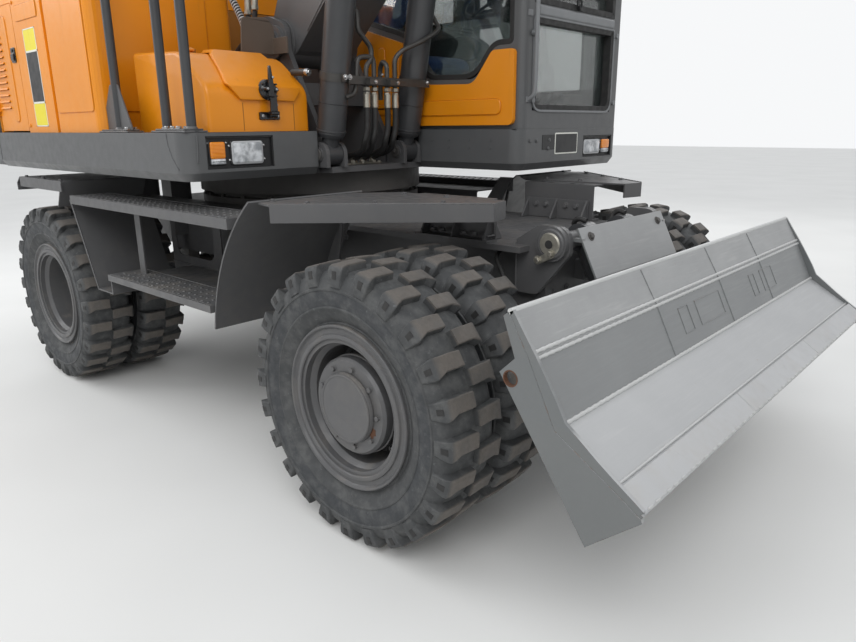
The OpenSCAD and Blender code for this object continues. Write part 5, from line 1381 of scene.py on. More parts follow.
def cab_details():
    rubber, black, grey, orange = Kit(), Kit(), Kit(), Kit()
    # Window rubbers
    border(rubber, "y", arcs(SIDE_WINDOW, 6), 26, 262, 219)
    border(rubber, "y", arcs([(-266, 2180, 30), (180, 2180, 30), (180, 2980, 50), (-266, 2980, 50)]), 22, 262,
        219)
    border(rubber, "x", arcs([(300, 1590, 70), (1100, 1590, 70), (1100, 2030, 24), (300, 2030, 24)], 7), 30,
        1362, 1407)
    border(rubber, "x", arcs([(300, 2090, 24), (1100, 2090, 24), (1100, 2980, 60), (300, 2980, 60)]), 30, 1362,
        1407)
    border(rubber, "x", tile(341, 1080, 2250, 2950, 50), 26, -304, -349)
    border(rubber, "y", arcs([(-266, 2180, 30), (180, 2180, 30), (180, 2980, 50), (-266, 2980, 50)]), 22, 1160,
        1203)
    rubber.make("cab_window_rubbers", "upper", "black_rubber")
    # Corner fillets of the front lower window
    border(grey, "x", arcs([(292, 1582, 78), (1108, 1582, 78), (1108, 2038, 30), (292, 2038, 30)], 7), 12, 1400,
        1411)
    for y0, y1, z in ((330, 1080, 2060),):
        grey.plate("y", arcs([(1398, z - 28, 6), (1418, z - 20, 8), (1418, z + 20, 8), (1398, z + 28, 6)]), y0,
            y1, 2)
    grey.pipe([(1404, 262, 1640), (1440, 262, 1660), (1446, 262, 1700), (1446, 262, 2600), (1440, 262, 2640),
        (1404, 262, 2660)], 11, 20, 14)
    for z in (1642, 2040, 2658):
        grey.box((1403, 246, z - 14), (1410, 278, z + 14), 2)
    for y, z in ((286, 1952), (1118, 2000), (1118, 1640), (286, 1640)):
        grey.rod((1404, y, z), (1424, y, z), 13, 20, 15, 2)
    grey.make("cab_front_trim", "upper", "trim_grey", "chassis_grey")
    # Wiper on the upper front window
    black.rod((1404, 700, 2108), (1426, 700, 2108), 17, 24, chamfer=2)
    black.box((1418, 660, 2112), (1426, 676, 2560), 2)
    black.box((1410, 664, 2180), (1418, 672, 2860), 2)
    black.hose([(1424, 700, 2108), (1428, 690, 2130), (1426, 672, 2200), (1422, 668, 2400)], 6)
    # Grab handle on the left front pillar and the door's own handle
    black.pipe([(1330, 1202, 1900), (1330, 1246, 1920), (1330, 1246, 2560), (1330, 1202, 2580)], 13, 40, 14)
    black.make("cab_wiper_and_grab", "upper", "black_plastic")
    b = Kit()
    b.plate("y", tile(1108, 1178, 2158, 2228, 10), 1199, 1205, 2)
    b.pipe([(1130, 1204, 2176), (1130, 1238, 2180), (1158, 1238, 2206), (1158, 1204, 2210)], 8, 12, 12)
    b.pipe([(330, 1201, 2150), (330, 1226, 2160), (330, 1226, 2210), (330, 1201, 2220)], 9, 14, 12)
    for z0, z1 in ((1700, 2160), (2230, 2900)):
        border(b, "y", tile(338, 1182, z0, z1, 40), 22, 1170, 1203)
    b.make("door_trim", "cab_door", "black_rubber")
    b = Kit()
    b.plate("y", tile(420, 1100, 1590, 1650, 25), 1199, 1204, 3)
    b.make("door_rib", "cab_door", "skirt_grey")
    # Pressed ribs of the orange panel by the boom
    for x0, x1, z0, z1 in ((720, 1290, 1570, 1650),):
        orange.plate("y", tile(x0, x1, z0, z1, 38, 7), 197.5, 191, 5)
    for x, z1 in ((330, 1990), (440, 1950), (550, 1900)):
        orange.plate("y", tile(x - 30, x + 30, 1700, z1, 28, 7), 197.5, 191, 5)
    orange.plate("y", arcs([(-200, 1580, 38), (600, 1580, 38), (600, 1640, 28), (-200, 1640, 28)], 7), 197.5,
        192, 4)
    orange.make("cab_panel_ribs", "upper", "body_orange")
    # Roof: rain gutter, hatch and beacon base
    b = Kit()
    b.plate("z", tile(-120, 760, 420, 1000, 40), 3119, 3136, 6)
    b.pipe([(-330, 1206, 3020), (1300, 1206, 3020)], 7)
    b.pipe([(-330, 215, 3020), (1300, 215, 3020)], 7)
    b.make("cab_roof_trim", "upper", "skirt_grey")
    b = Kit()
    b.rod((-220, 420, 3120), (-220, 420, 3142), 58, 32, 54, 3)
    b.make("beacon_base", "upper", "black_plastic")
    b = Kit()
    b.rod((-220, 420, 3142), (-220, 420, 3232), 48, 32, 40, 8)
    b.make("beacon", "upper", "amber_lens")
    # Inside: headliner, floor mat, consoles, display, pedals
    b = Kit()
    b.box((-300, 266, 3044), (1356, 1154, 3056), 3)
    b.make("cab_headliner", "upper", "headliner", "black_plastic")
    b = Kit()
    b.box((-300, 266, 1541), (1356, 1150, 1548), 2)
    for k in range(18):
        b.box((620 + 38 * k, 300, 1548), (636 + 38 * k, 1110, 1552), 1.5)
    b.make("cab_floor_mat", "upper", "black_rubber")
    b = Kit()
    for y in (392, 912):
        b.plate("y", arcs([(60, 1900, 20), (560, 1920, 40), (600, 2010, 30), (480, 2076, 20), (60, 2060, 20)]),
            y, y + 96, 8)
    b.plate("y", arcs([(1250, 1560), (1340, 1560), (1340, 1900, 20), (1290, 1960, 30), (1230, 1900, 30)]), 280,
        420, 8)
    b.box((1230, 560, 1548), (1330, 840, 1600), 8)
    b.make("cab_consoles", "upper", "black_plastic")
    b = Kit()
    b.plate("y", arcs([(1210, 2020, 12), (1250, 2010, 12), (1290, 2190, 12), (1250, 2200, 12)]), 290, 520, 6)
    b.make("cab_display", "upper", "black_gloss")
    b = Kit()
    for y in (600, 700, 800):
        b.plate("y", arcs([(1130, 1600, 8), (1150, 1590, 8), (1250, 1680, 8), (1236, 1694, 8)]), y - 32, y + 32,
            3)
        b.box((1180, y - 8, 1548), (1196, y + 8, 1640), 2)
    b.make("cab_pedals", "upper", "black_rubber")


def controls():
    """Steering wheel with its rim as a ring, and the two joysticks with their bellows."""
    lean = math.radians(115)
    d = Vector((math.cos(lean), 0, math.sin(lean)))
    foot = P(1040, 700, 1820.6)
    top = foot + d * 0.432
    b = Kit()
    side = Vector((0, 1, 0))
    u = d.cross(side).normalized()
    n = 56
    ring = [top + (side * math.cos(2 * math.pi * k / n) + u * math.sin(2 * math.pi * k / n)) * 0.187
        for k in range(n + 1)]
    b.tube(ring, 0.0135, 12, caps=False)
    for a in (90, 210, 330):
        v = side * math.cos(math.radians(a)) + u * math.sin(math.radians(a))
        b.tube([top - d * 0.004, top + v * 0.09, top + v * 0.184], 0.009, 10)
    b.tube([top - d * 0.03, top + d * 0.004, top + d * 0.014], 0, 28, [0.044, 0.046, 0.034])
    b.tube([foot - d * 0.02, foot + d * 0.12, foot + d * 0.14, top - d * 0.02], 0, 20,
        [0.040, 0.040, 0.030, 0.028])
    b.plate("y", arcs([(980, 1541), (1100, 1541), (1100, 1760, 30), (1070, 1842, 20), (1010, 1850, 20),
        (980, 1760, 30)]), 640, 760, 8)
    b.tube([foot + d * 0.36, foot + d * 0.36 + side * 0.07, foot + d * 0.365 + side * 0.13], 0.007, 10)
    b.make("steering_wheel", "upper", "black_plastic", replaces=["cab_controls"])
    b = Kit()
    for y in (440, 960):
        z = 2061
        radii = [0.052, 0.046, 0.050, 0.040, 0.044, 0.034, 0.037, 0.026, 0.018, 0.016]
        b.tube([P(440 + 2 * k, y, z + 9 * k) for k in range(10)], 0, 24, radii)
        b.tube([P(458, y, z + 80), P(462, y, z + 110), P(466, y, z + 150), P(476, y, z + 196),
            P(486, y, z + 214)], 0, 20, [0.015, 0.020, 0.023, 0.025, 0.014])
        b.plate("y", arcs([(474, z + 188, 4), (500, z + 200, 6), (494, z + 214, 6), (474, z + 210, 4)]), y - 9,
            y + 9, 2)
    b.make("joysticks", "upper", "black_plastic", replaces=["cab_controls"])


def pad(name, build, colour, seams=(), cap=0.012):
    """Cushion: remeshed, blown up with cloth pressure where time allows, then smoothed."""
    o = build.make(name, "upper", colour)
    mod = o.modifiers.new("remesh", "REMESH")
    mod.mode = "VOXEL"
    mod.voxel_size = 0.0075
    bpy.context.view_layer.update()
    mesh = bpy.data.meshes.new_from_object(o.evaluated_get(bpy.context.evaluated_depsgraph_get()))
    o.modifiers.clear()
    o.data = mesh
    start = [v.co.copy() for v in o.data.vertices]
    cloth = o.modifiers.new("cloth", "CLOTH")
    s = cloth.settings
    s.use_pressure = True
    s.uniform_pressure_force = 4.0
    s.effector_weights.gravity = 0.0
    s.quality = 4
    s.mass = 0.3
    cloth.point_cache.frame_start = 1
    cloth.point_cache.frame_end = 20
    scene = bpy.context.scene
    for f in range(1, 21):
        scene.frame_set(f)
    dg = bpy.context.evaluated_depsgraph_get()
    done = o.evaluated_get(dg).to_mesh()
    moved = [v.co.copy() for v in done.vertices]
    o.evaluated_get(dg).to_mesh_clear()
    o.modifiers.clear()
    scene.frame_set(1)
    if len(moved) == len(start):
        for v, a, c in zip(o.data.vertices, start, moved):
            step = c - a
            if step.length > cap:
                step *= cap / step.length
            v.co = a + step
    bm = bmesh.new()
    bm.from_mesh(o.data)
    for _ in range(3):
        bmesh.ops.smooth_vert(bm, verts=bm.verts, factor=0.5, use_axis_x=True, use_axis_y=True, use_axis_z=True)
    # Seams pulled in along planes: (point, normal, half width, depth)
    for point, normal, half, depth in seams:
        n = Vector(normal).normalized()
        for v in bm.verts:
            d = abs((v.co - point).dot(n))
            if d < half:
                v.co -= v.normal * depth * (1 - d / half) ** 2
    bm.to_mesh(o.data)
    bm.free()
    smooth(o, 80)
    return o


def chair():
    z = 1540.6
    b = Kit()
    b.plate("z", arcs([(70, 480, 70), (560, 490, 90), (560, 910, 90), (70, 920, 70)]), z + 282, z + 372, 26)
    x_mid = P(330, 700, 0)
    pad("chair_cushion", b, "chair_cloth", [(P(0, 560, 0), (0, 1, 0), 0.012, 0.006),
        (P(0, 840, 0), (0, 1, 0), 0.012, 0.006), (x_mid, (1, 0, 0), 0.010, 0.004)])
    b = Kit()
    b.plate("y", arcs([(86, z + 350, 30), (166, z + 384, 40), (78, z + 1030, 40), (-30, z + 1022, 40),
        (44, z + 400, 30)]), 484, 916, 30)
    back = b
    pad("chair_back", back, "chair_cloth", [(P(0, 560, 0), (0, 1, 0), 0.012, 0.006),
        (P(0, 840, 0), (0, 1, 0), 0.012, 0.006), (P(0, 0, z + 700), (0.14, 0, 1), 0.010, 0.005)])
    b = Kit()
    for y in (404, 924):
        b.plate("z", arcs([(90, y, 20), (470, y, 30), (470, y + 72, 30), (90, y + 72, 20)]), z + 452, z + 514,
            16)
    pad("chair_armrests", b, "black_rubber", cap=0.006)
    b = Kit()
    b.box((130, 530, z), (410, 870, z + 60), 6)
    for k in range(6):
        b.plate("z", tile(150 + 4 * (k % 2), 390, 550, 850, 20), z + 60 + 30 * k, z + 86 + 30 * k, 6)
    b.box((110, 500, z + 240), (500, 900, z + 284), 8)
    for y in (416, 936):
        b.box((110, y, z + 380), (150, y + 48, z + 470), 5)
    b.box((62, 446, z + 380), (150, 954, z + 420), 6)
    b.plate("y", arcs([(40, z + 330, 10), (70, z + 340, 10), (-26, z + 1010, 20), (-52, z + 1000, 20)]), 500,
        900, 8)
    b.make("chair_base", "upper", "black_plastic", replaces=["operator_chair"])


cab_details()
controls()
chair()

# ---------------------------------------------------------------- wheels


def wheel_details():
    for end, x in AXLE.items():
        for side_name, s in (("right", -1), ("left", 1)):
            body = f"wheels_{end}_{side_name}"
            hub = P(x, s * 941, AXLE_Z)
            base = P(x, 0, AXLE_Z)
            b, metal, rusty = Kit(), Kit(), Kit()
            # Lock ring and bead ring of both rims
            for mid in (1106, 776):
                for face in (-1, 1):
                    prof = [(0.2585, 0.098), (0.2585, 0.112), (0.262, 0.1155), (0.270, 0.1165), (0.276, 0.1140),
                        (0.279, 0.1065), (0.296, 0.1060), (0.300, 0.1090), (0.303, 0.1160), (0.307, 0.1185),
                        (0.311, 0.1175), (0.3135, 0.1130), (0.3128, 0.1000), (0.2585, 0.098)]
                    if mid == 776 and face > 0 or mid == 1106 and face < 0:
                        prof = [(r, min(h, 0.106)) for r, h in prof]
                    b.revolve([(r, s * (mid + face * h * 1000) / 1000) for r, h in prof], base, (0, 1, 0), 96)
            front = end == "front"
            face, drum, cover = (1200, 0.185, 0.130) if front else (1020, 0.150, 0.090)
            f = face / 1000
            rings = [
                [(drum - 0.004, f - 0.060), (drum + 0.005, f - 0.057), (drum + 0.005, f - 0.045),
                    (drum - 0.004, f - 0.042), (drum - 0.004, f - 0.060)],
                [(cover - 0.002, f), (cover + 0.004, f + 0.003), (cover + 0.003, f + 0.014),
                    (cover - 0.004, f + 0.0235), (cover - 0.010, f + 0.0225), (cover - 0.002, f)],
                [(0.2145, f - 0.17 if front else f - 0.06), (0.2290, f - 0.15 if front else f - 0.04),
                    (0.2425, f - 0.13 if front else f - 0.02), (0.2425, f - 0.15 if front else f - 0.05),
                    (0.2145, f - 0.18 if front else f - 0.07)],
            ]
            for ring in rings:
                b.revolve([(r, s * h) for r, h in ring], base, (0, 1, 0), 72)
            if front:
                # Bare rusty spot beside a bolt
                n = 15
                spot = [(0.118 + 0.019 * math.cos(2 * math.pi * k / n) * (1 + 0.3 * math.sin(k * 2.3)),
                    -0.062 + 0.026 * math.sin(2 * math.pi * k / n) * (1 + 0.25 * math.cos(k * 1.7)))
                    for k in range(n)]
                rings = [[base + Vector((u, s * (f + h), v)) for u, v in spot] for h in (-0.001, 0.0007)]
                rusty.rings(rings)
            # Wheel nuts on the disc, and the valve
            disc = 1022 if front else 952
            for k in range(10):
                a = 2 * math.pi * k / 10
                at = base + Vector((0.207 * math.cos(a), s * disc / 1000, 0.207 * math.sin(a)))
                b.cyl(at, at + Vector((0, s * 0.006, 0)), 0.020, 20)
                metal.cyl(at + Vector((0, s * 0.024, 0)), at + Vector((0, s * 0.038, 0)), 0.0085, 12,
                    chamfer=0.0015)
            metal.tube([base + Vector((0.232, s * 1.12, 0.03)), base + Vector((0.236, s * 1.16, 0.03)),
                base + Vector((0.244, s * 1.188, 0.03))], 0.0045, 10)
            b.make(f"rim_rings_{end}_{side_name}", body, "chassis_grey", at=hub)
            metal.make(f"wheel_studs_{end}_{side_name}", body, "steel_bright", "rod_chrome", at=hub)
            if rusty.v:
                rusty.make(f"rust_spot_{end}_{side_name}", body, "rust", "cast_grey", at=hub)


# ---------------------------------------------------------------- blade


def along(p, q, t):
    return (p[0] + (q[0] - p[0]) * t, p[1] + (q[1] - p[1]) * t)


# Front of the blade's plate, from its top edge to its cutting edge
BLADE = [(2399.2, 1036.9), (2466.4, 918.5), (2554.8, 735.8), (2731.5, 626.8), (2813.6, 573.8)]


def blade_point(k, t, out=0.0):
    p, q = Vector(BLADE[k]), Vector(BLADE[k + 1])
    u = (q - p).normalized()
    c = p.lerp(q, t) + Vector((-u.y, u.x)) * out
    return c.x, c.y


def blade_details():
    b = Kit()
    for k, t, r in ((1, -0.045, 6), (1, 0.045, 6), (1, 1.0, 7), (2, 1.0, 5)):
        x, z = blade_point(k, t)
        b.bead([(x, -1226, z), (x, 1226, z)], r)
    b.rod((2393, -1240, 1034), (2393, 1240, 1034), 9, 14)
    b.make("blade_welds", "blade", "weld_pale")
    b = Kit()
    for y in (-470, 110, 610):
        b.bead([(blade_point(0, 0.06)[0], y - 6, blade_point(0, 0.06)[1]), (BLADE[1][0], y, BLADE[1][1]),
            (blade_point(1, 0.97)[0], y + 4, blade_point(1, 0.97)[1])], 4)
    for y0, y1 in ((-330, -250), (-180, 60), (420, 480), (560, 720)):
        ring = [blade_point(1, t, 0.5) + (y,) for t, y in ((0.25, y0), (0.25, y1), (0.72, y1), (0.72, y0),
            (0.25, y0))]
        b.bead([(x, y, z) for x, z, y in ring], 2.2)
    b.make("blade_joints", "blade", "blade_primer")
    # Proud rims of the side plates
    b = Kit()
    stations = ((0, 0.0, 30, 3), (0, 0.5, 28, 8), (1, 0.0, 27, 14), (1, 0.35, 29, 22), (1, 0.7, 35, 29),
        (1, 1.0, 42, 32), (2, 0.3, 50, 27), (2, 0.65, 56, 19), (3, 0.0, 57, 14), (3, 0.5, 57, 13),
        (3, 0.93, 57, 11))
    for s in (-1, 1):
        rings = []
        for k, t, turn, out in stations:
            x, z = blade_point(k, t)
            c, d = math.cos(math.radians(turn)), math.sin(math.radians(turn))
            near, far = (x - 10 * c, z - 10 * d), (x + out * c, z + out * d)
            rings.append([P(near[0], s * 1227, near[1]), P(near[0], s * 1240, near[1]),
                P(far[0], s * 1240, far[1]), P(far[0], s * 1227, far[1])])
        b.rings(rings)
    b.make("blade_side_rims", "blade", "blade_primer")
    # Cutting edge in three lengths, and its row of short welds
    b = Kit()
    outline = [blade_point(3, 0.10, -1), blade_point(3, 1.0, -1), blade_point(3, 0.94, 9),
        blade_point(3, 0.10, 12)]
    for y0, y1 in ((-1226, -392), (-388, 404), (408, 1226)):
        b.plate("y", outline, y0, y1, 2)
    b.make("blade_edge", "blade", "blade_edge_paint", "blade_primer")
    b = Kit()
    for k in range(46):
        y = -1200 + 2400 * k / 45 + 9 * math.sin(k * 4.1)
        p = blade_point(3, 0.93, 8)
        b.bead([(p[0], y - 13, p[1]), (p[0] + 1, y + 13, p[1] - 1)], 3.6)
    b.make("blade_edge_welds", "blade", "weld_pale")
    b = Kit()
    for s in (-1, 1):
        b.revolve([(0.0215, -0.0155), (0.024, -0.0155), (0.0250, 0.0005), (0.0215, 0.0005), (0.0215, -0.0155)],
            P(2399, s * 1240.4, 841), (0, s, 0), 32)
    b.make("blade_hole_rust", "blade", "rust", "blade_primer")
    # Cover plate over the lift pins: the blade's lip below it, and its two bolts
    b = Kit()
    b.bead([(2174, -366, 946), (2174, 366, 946)], 3)
    for y in (-300, 300):
        p = along((2172, 944), (2079, 1130), 0.8)
        b.nut((p[0] + 7, y, p[1] + 3.5), (0.894, 0, 0.447), 13, 10)
    b.make("blade_cover_bolts", "chassis", "cast_grey")
    # Keeper plates of the lift pins
    b = Kit()
    for s in (-1, 1):
        b.rod((2000, s * 430, 1070), (2000, s * 438, 1070), 46, 40, 43, 2)
        o = [(1936, 1006), (1958, 988), (2026, 1022), (2018, 1050)]
        b.plate("y", arcs([(x, z, 6) for x, z in o]), min(s * 424, s * 440), max(s * 424, s * 440), 2)
        for x, z in ((1952, 1004), (2010, 1034)):
            b.nut((x, s * 440, z), (0, s, 0), 12, 10)
    b.make("pin_keepers", "chassis", "zinc")
    # Black discs in the keepers' middles: painted shade standing for the dark of the pin bores
    b = Kit()
    for s in (-1, 1):
        b.rod((2000, s * 437, 1070), (2000, s * 439.5, 1070), 17, 24)
    b.make("pin_bore_shade", "chassis", "black_rubber")


def pin_end(kit, at, axis, r, bolts=3):
    """Round end plate of a pin with its bolts and grease nipple."""
    h = 10
    a = Vector(axis).normalized()
    p = P(*at)
    kit.cyl(p, p + a * (h / 1000), r / 1000, 36, chamfer=0.002)
    side = a.orthogonal().normalized()
    up = a.cross(side)
    for k in range(bolts):
        t = 2 * math.pi * (k + 0.3) / bolts
        kit.bolt(p + a * (h / 1000) + (side * math.cos(t) + up * math.sin(t)) * (r * 0.00064), a, 0.0085, 0.008)
    kit.cyl(p + a * (h / 1000), p + a * ((h + 10) / 1000), 0.004, 10, 0.003)


def nose_details():
    b = Kit()
    for s in (-1, 1):
        b.rod((2000, s * 424, 1070), (2000, s * 432, 1070), 62, 40, 58, 2)
        pin_end(b, (2020, s * 366, 480), (0, s, 0), 52, 3)
        # Bolts along the fender flange and on the nose
        for x in (1400, 1450, 1575, 1630):
            b.nut((x, s * 440, 1074), (0, 0, 1), 12, 11)
            b.nut((x, s * 440, 1227), (0, 0, -1), 10, 9)
        for x in (1330, 1700, 1505):
            b.bead([(x + 14, s * 409, 1076), (x + 14, s * 460, 1076)], 4)
            b.bead([(x + 14, s * 409, 1078), (x + 14, s * 409, 1190)], 4)
        b.bead([(1822, s * 401, 860), (1822, s * 401, 1060)], 4)
        # Bolted flange of the fender, with its gussets on the inner side
        b.box((1330, min(s * 390, s * 400), 1051), (1700, max(s * 390, s * 400), 1150), 2)
        for x in (1336, 1510, 1684):
            b.plate("x", [(s * 391, 1152), (s * 391, 1051), (s * 330, 1051), (s * 330, 1060)], x, x + 10, 1)
        for x in (1390, 1450, 1570, 1630):
            b.nut((x, s * 390, 1118), (0, -s, 0), 12, 10)
    for y in (-250, -130, 130, 250):
        b.nut((1905, y, 980), (1, 0, 0), 12, 10)
        b.nut((1905, y, 830), (1, 0, 0), 12, 10)
    # Manifold block on the nose
    b.box((1906, -70, 860), (1956, 70, 950), 4)
    b.make("nose_fittings", "chassis", "chassis_grey")
    b = Kit()
    for s in (-1, 1):
        b.hose([(1945, s * 40, 905), (1972, s * 46, 912), (1990, s * 66, 950), (1985, s * 100, 1020),
            (1960, s * 140, 1080), (1950, s * 168, 1120), (1975, s * 175, 1142), (2010, s * 172, 1136)], 11)
        b.hose([(1945, s * 20, 880), (1985, s * 26, 870), (2020, s * 60, 900), (2036, s * 100, 950),
            (2052, s * 112, 985)], 11)
        b.hose([(1700, s * 330, 1010), (1760, s * 452, 990), (1830, s * 500, 930), (1860, s * 520, 820),
            (1840, s * 540, 700), (1800, s * 560, 650)], 9)
    b.make("nose_hoses", "chassis", "black_rubber")
    b = Kit()
    for s in (-1, 1):
        b.nut((1956, s * 40, 905), (1, 0, 0), 15, 14, False)
        b.nut((1956, s * 20, 880), (1, 0, 0), 15, 14, False)
    b.make("nose_unions", "chassis", "zinc")


def chassis_details():
    b = Kit()
    for s in (-1, 1):
        # Steps: folded lips along the edges, round studs on the treads, welds
        for x0, x1, z in ((-610, 968, 1165), (-250, 775, 768)):
            b.box((x0 + 4, s * 1010 - 2, z), (x1 - 4, s * 1010 + 2, z + 3), 1)
            b.box((x0 + 4, s * 1203 - 3, z), (x1 - 4, s * 1203 + 3, z + 2.5), 1)
            for i in range(1, int((x1 - x0) / 52)):
                x = x0 + 52 * i
                for y in (1052, 1098, 1144, 1184):
                    dx = 26 if y in (1098, 1184) else 0
                    if x + dx < x1 - 16:
                        b.rod((x + dx, s * y, z - 1), (x + dx, s * y, z + 3.2), 9, 14, 5)
        b.bead([(-490, s * 709, 1118), (740, s * 709, 1118)], 4)
        b.bead([(-490, s * 709, 744), (740, s * 709, 744)], 4)
        b.bead([(-648, s * 1199, 1136), (-432, s * 1199, 660)], 4)
        # Front fender: weld line, bolts, and the stay of the mudguard
        b.bead([(1218, s * 1176, 1236), (1862, s * 622, 1236)], 3)
        for x, y in ((1120, 1090), (1300, 1060), (1500, 890), (1700, 720), (1340, 560), (1560, 540)):
            b.nut((x, s * y, 1235), (0, 0, 1), 10, 8)
        for z in (900, 1050, 1180):
            b.nut((990, s * 601, z - 30), (0, s, 0), 10, 8)
        b.plate("y", [(905, 640), (925, 640), (1040, 1180), (1020, 1180)], s * 640, s * 648, 1)
        # Rear fender
        for x in (-1340, -1060, -800):
            b.nut((x, s * 1180, 1235), (0, 0, 1), 10, 8)
            b.nut((x, s * 470, 1235), (0, 0, 1), 10, 8)
    b.make("chassis_fittings", "chassis", "chassis_grey")
    # Lines and tanks under the frame
    b = Kit()
    for y, z in ((-300, 800), (-270, 800), (300, 800)):
        b.pipe([(-1290, y, z), (-600, y, z), (600, y, z), (1400, y, z + 60), (1840, y * 0.6, z + 110)], 8, 60,
            10)
    for s in (-1, 1):
        b.pipe([(1660, s * 200, 720), (1660, s * 330, 700), (1640, s * 430, 690), (1630, s * 500, 668)], 6, 30,
            10)
        b.pipe([(-1060, s * 120, 760), (-1060, s * 300, 730), (-1020, s * 520, 665), (-1020, s * 640, 640)], 6,
            30, 10)
    b.make("chassis_lines", "chassis", "pipe_steel")
    b = Kit()
    for y in (-440, 440):
        b.tube([P(-420, y, 860), P(-400, y, 860), P(-360, y, 860), P(280, y, 860), P(320, y, 860),
            P(340, y, 860)], 0, 40, [0.06, 0.098, 0.112, 0.112, 0.098, 0.06])
        for x in (-260, 180):
            b.revolve([(0.1125, -0.02), (0.117, -0.02), (0.117, 0.02), (0.1125, 0.02), (0.1125, -0.02)],
                P(x, y, 860), (1, 0, 0), 40)
            b.box((x - 20, y - 30, 955), (x + 20, y + 30, 1027), 3)
    b.make("air_tanks", "chassis", "cast_grey")
    # Axle castings: bolts, ribs and kingpin caps
    b = Kit()
    for x in AXLE.values():
        for s in (-1, 1):
            for k in range(12):
                a = 2 * math.pi * k / 12
                b.bolt(P(x, s * 152, AXLE_Z) + Vector((0.176 * math.cos(a), 0, 0.176 * math.sin(a))), (0, s, 0),
                    0.011, 0.010, False)
            for k in range(5):
                a = math.pi * (0.15 + 0.175 * k)
                at = P(x, s * 300, AXLE_Z)
                b.tube([at + Vector((0.095 * math.cos(a), -s * 0.13, 0.095 * math.sin(a))),
                    at + Vector((0.098 * math.cos(a), s * 0.09, 0.098 * math.sin(a)))], 0.010, 8)
    for s in (-1, 1):
        for k in range(10):
            a = 2 * math.pi * k / 10
            b.bolt(P(-1060, s * 590, AXLE_Z) + Vector((0.135 * math.cos(a), 0, 0.135 * math.sin(a))),
                (0, -s, 0), 0.010, 0.010, False)
        for z in (-1, 1):
            b.rod((1660, s * 560, AXLE_Z + z * 125), (1660, s * 560, AXLE_Z + z * 142), 44, 28, chamfer=3)
            for k in range(4):
                a = math.pi / 4 + math.pi / 2 * k
                b.bolt(P(1660 + 52 * math.cos(a), s * 560 + 52 * math.sin(a), AXLE_Z + z * 125), (0, 0, z),
                    0.008, 0.008, False)
    b.make("axle_bolts", "chassis", "cast_grey")


# ---------------------------------------------------------------- boom, arm and bucket


def frame_at(origin, angle):
    c, d = math.cos(math.radians(angle)), math.sin(math.radians(angle))

    def place(u, v, y):
        return (origin[0] + c * u - d * v, BOOM_Y + y, origin[1] + d * u + c * v)

    return place


def turned(origin, angle, u, v):
    p = frame_at(origin, angle)(u, v, 0)
    return (p[0], p[2])


def side_plate(kit, at, outline, y0, y1, chamfer):
    """A plate with its outline in a frame_at frame, from y0 to y1 off the boom's middle plane."""
    points = [at(u, v, 0) for u, v in outline]
    kit.plate("y", [(p[0], p[2]) for p in points], BOOM_Y + y0, BOOM_Y + y1, chamfer)


BOOM_FOOT = (250.0, 1946.0)
BOOM_TIP = turned(BOOM_FOOT, 34, 4600, 0)
BUCKET_PIN = turned(BOOM_TIP, -75, 2400, 0)


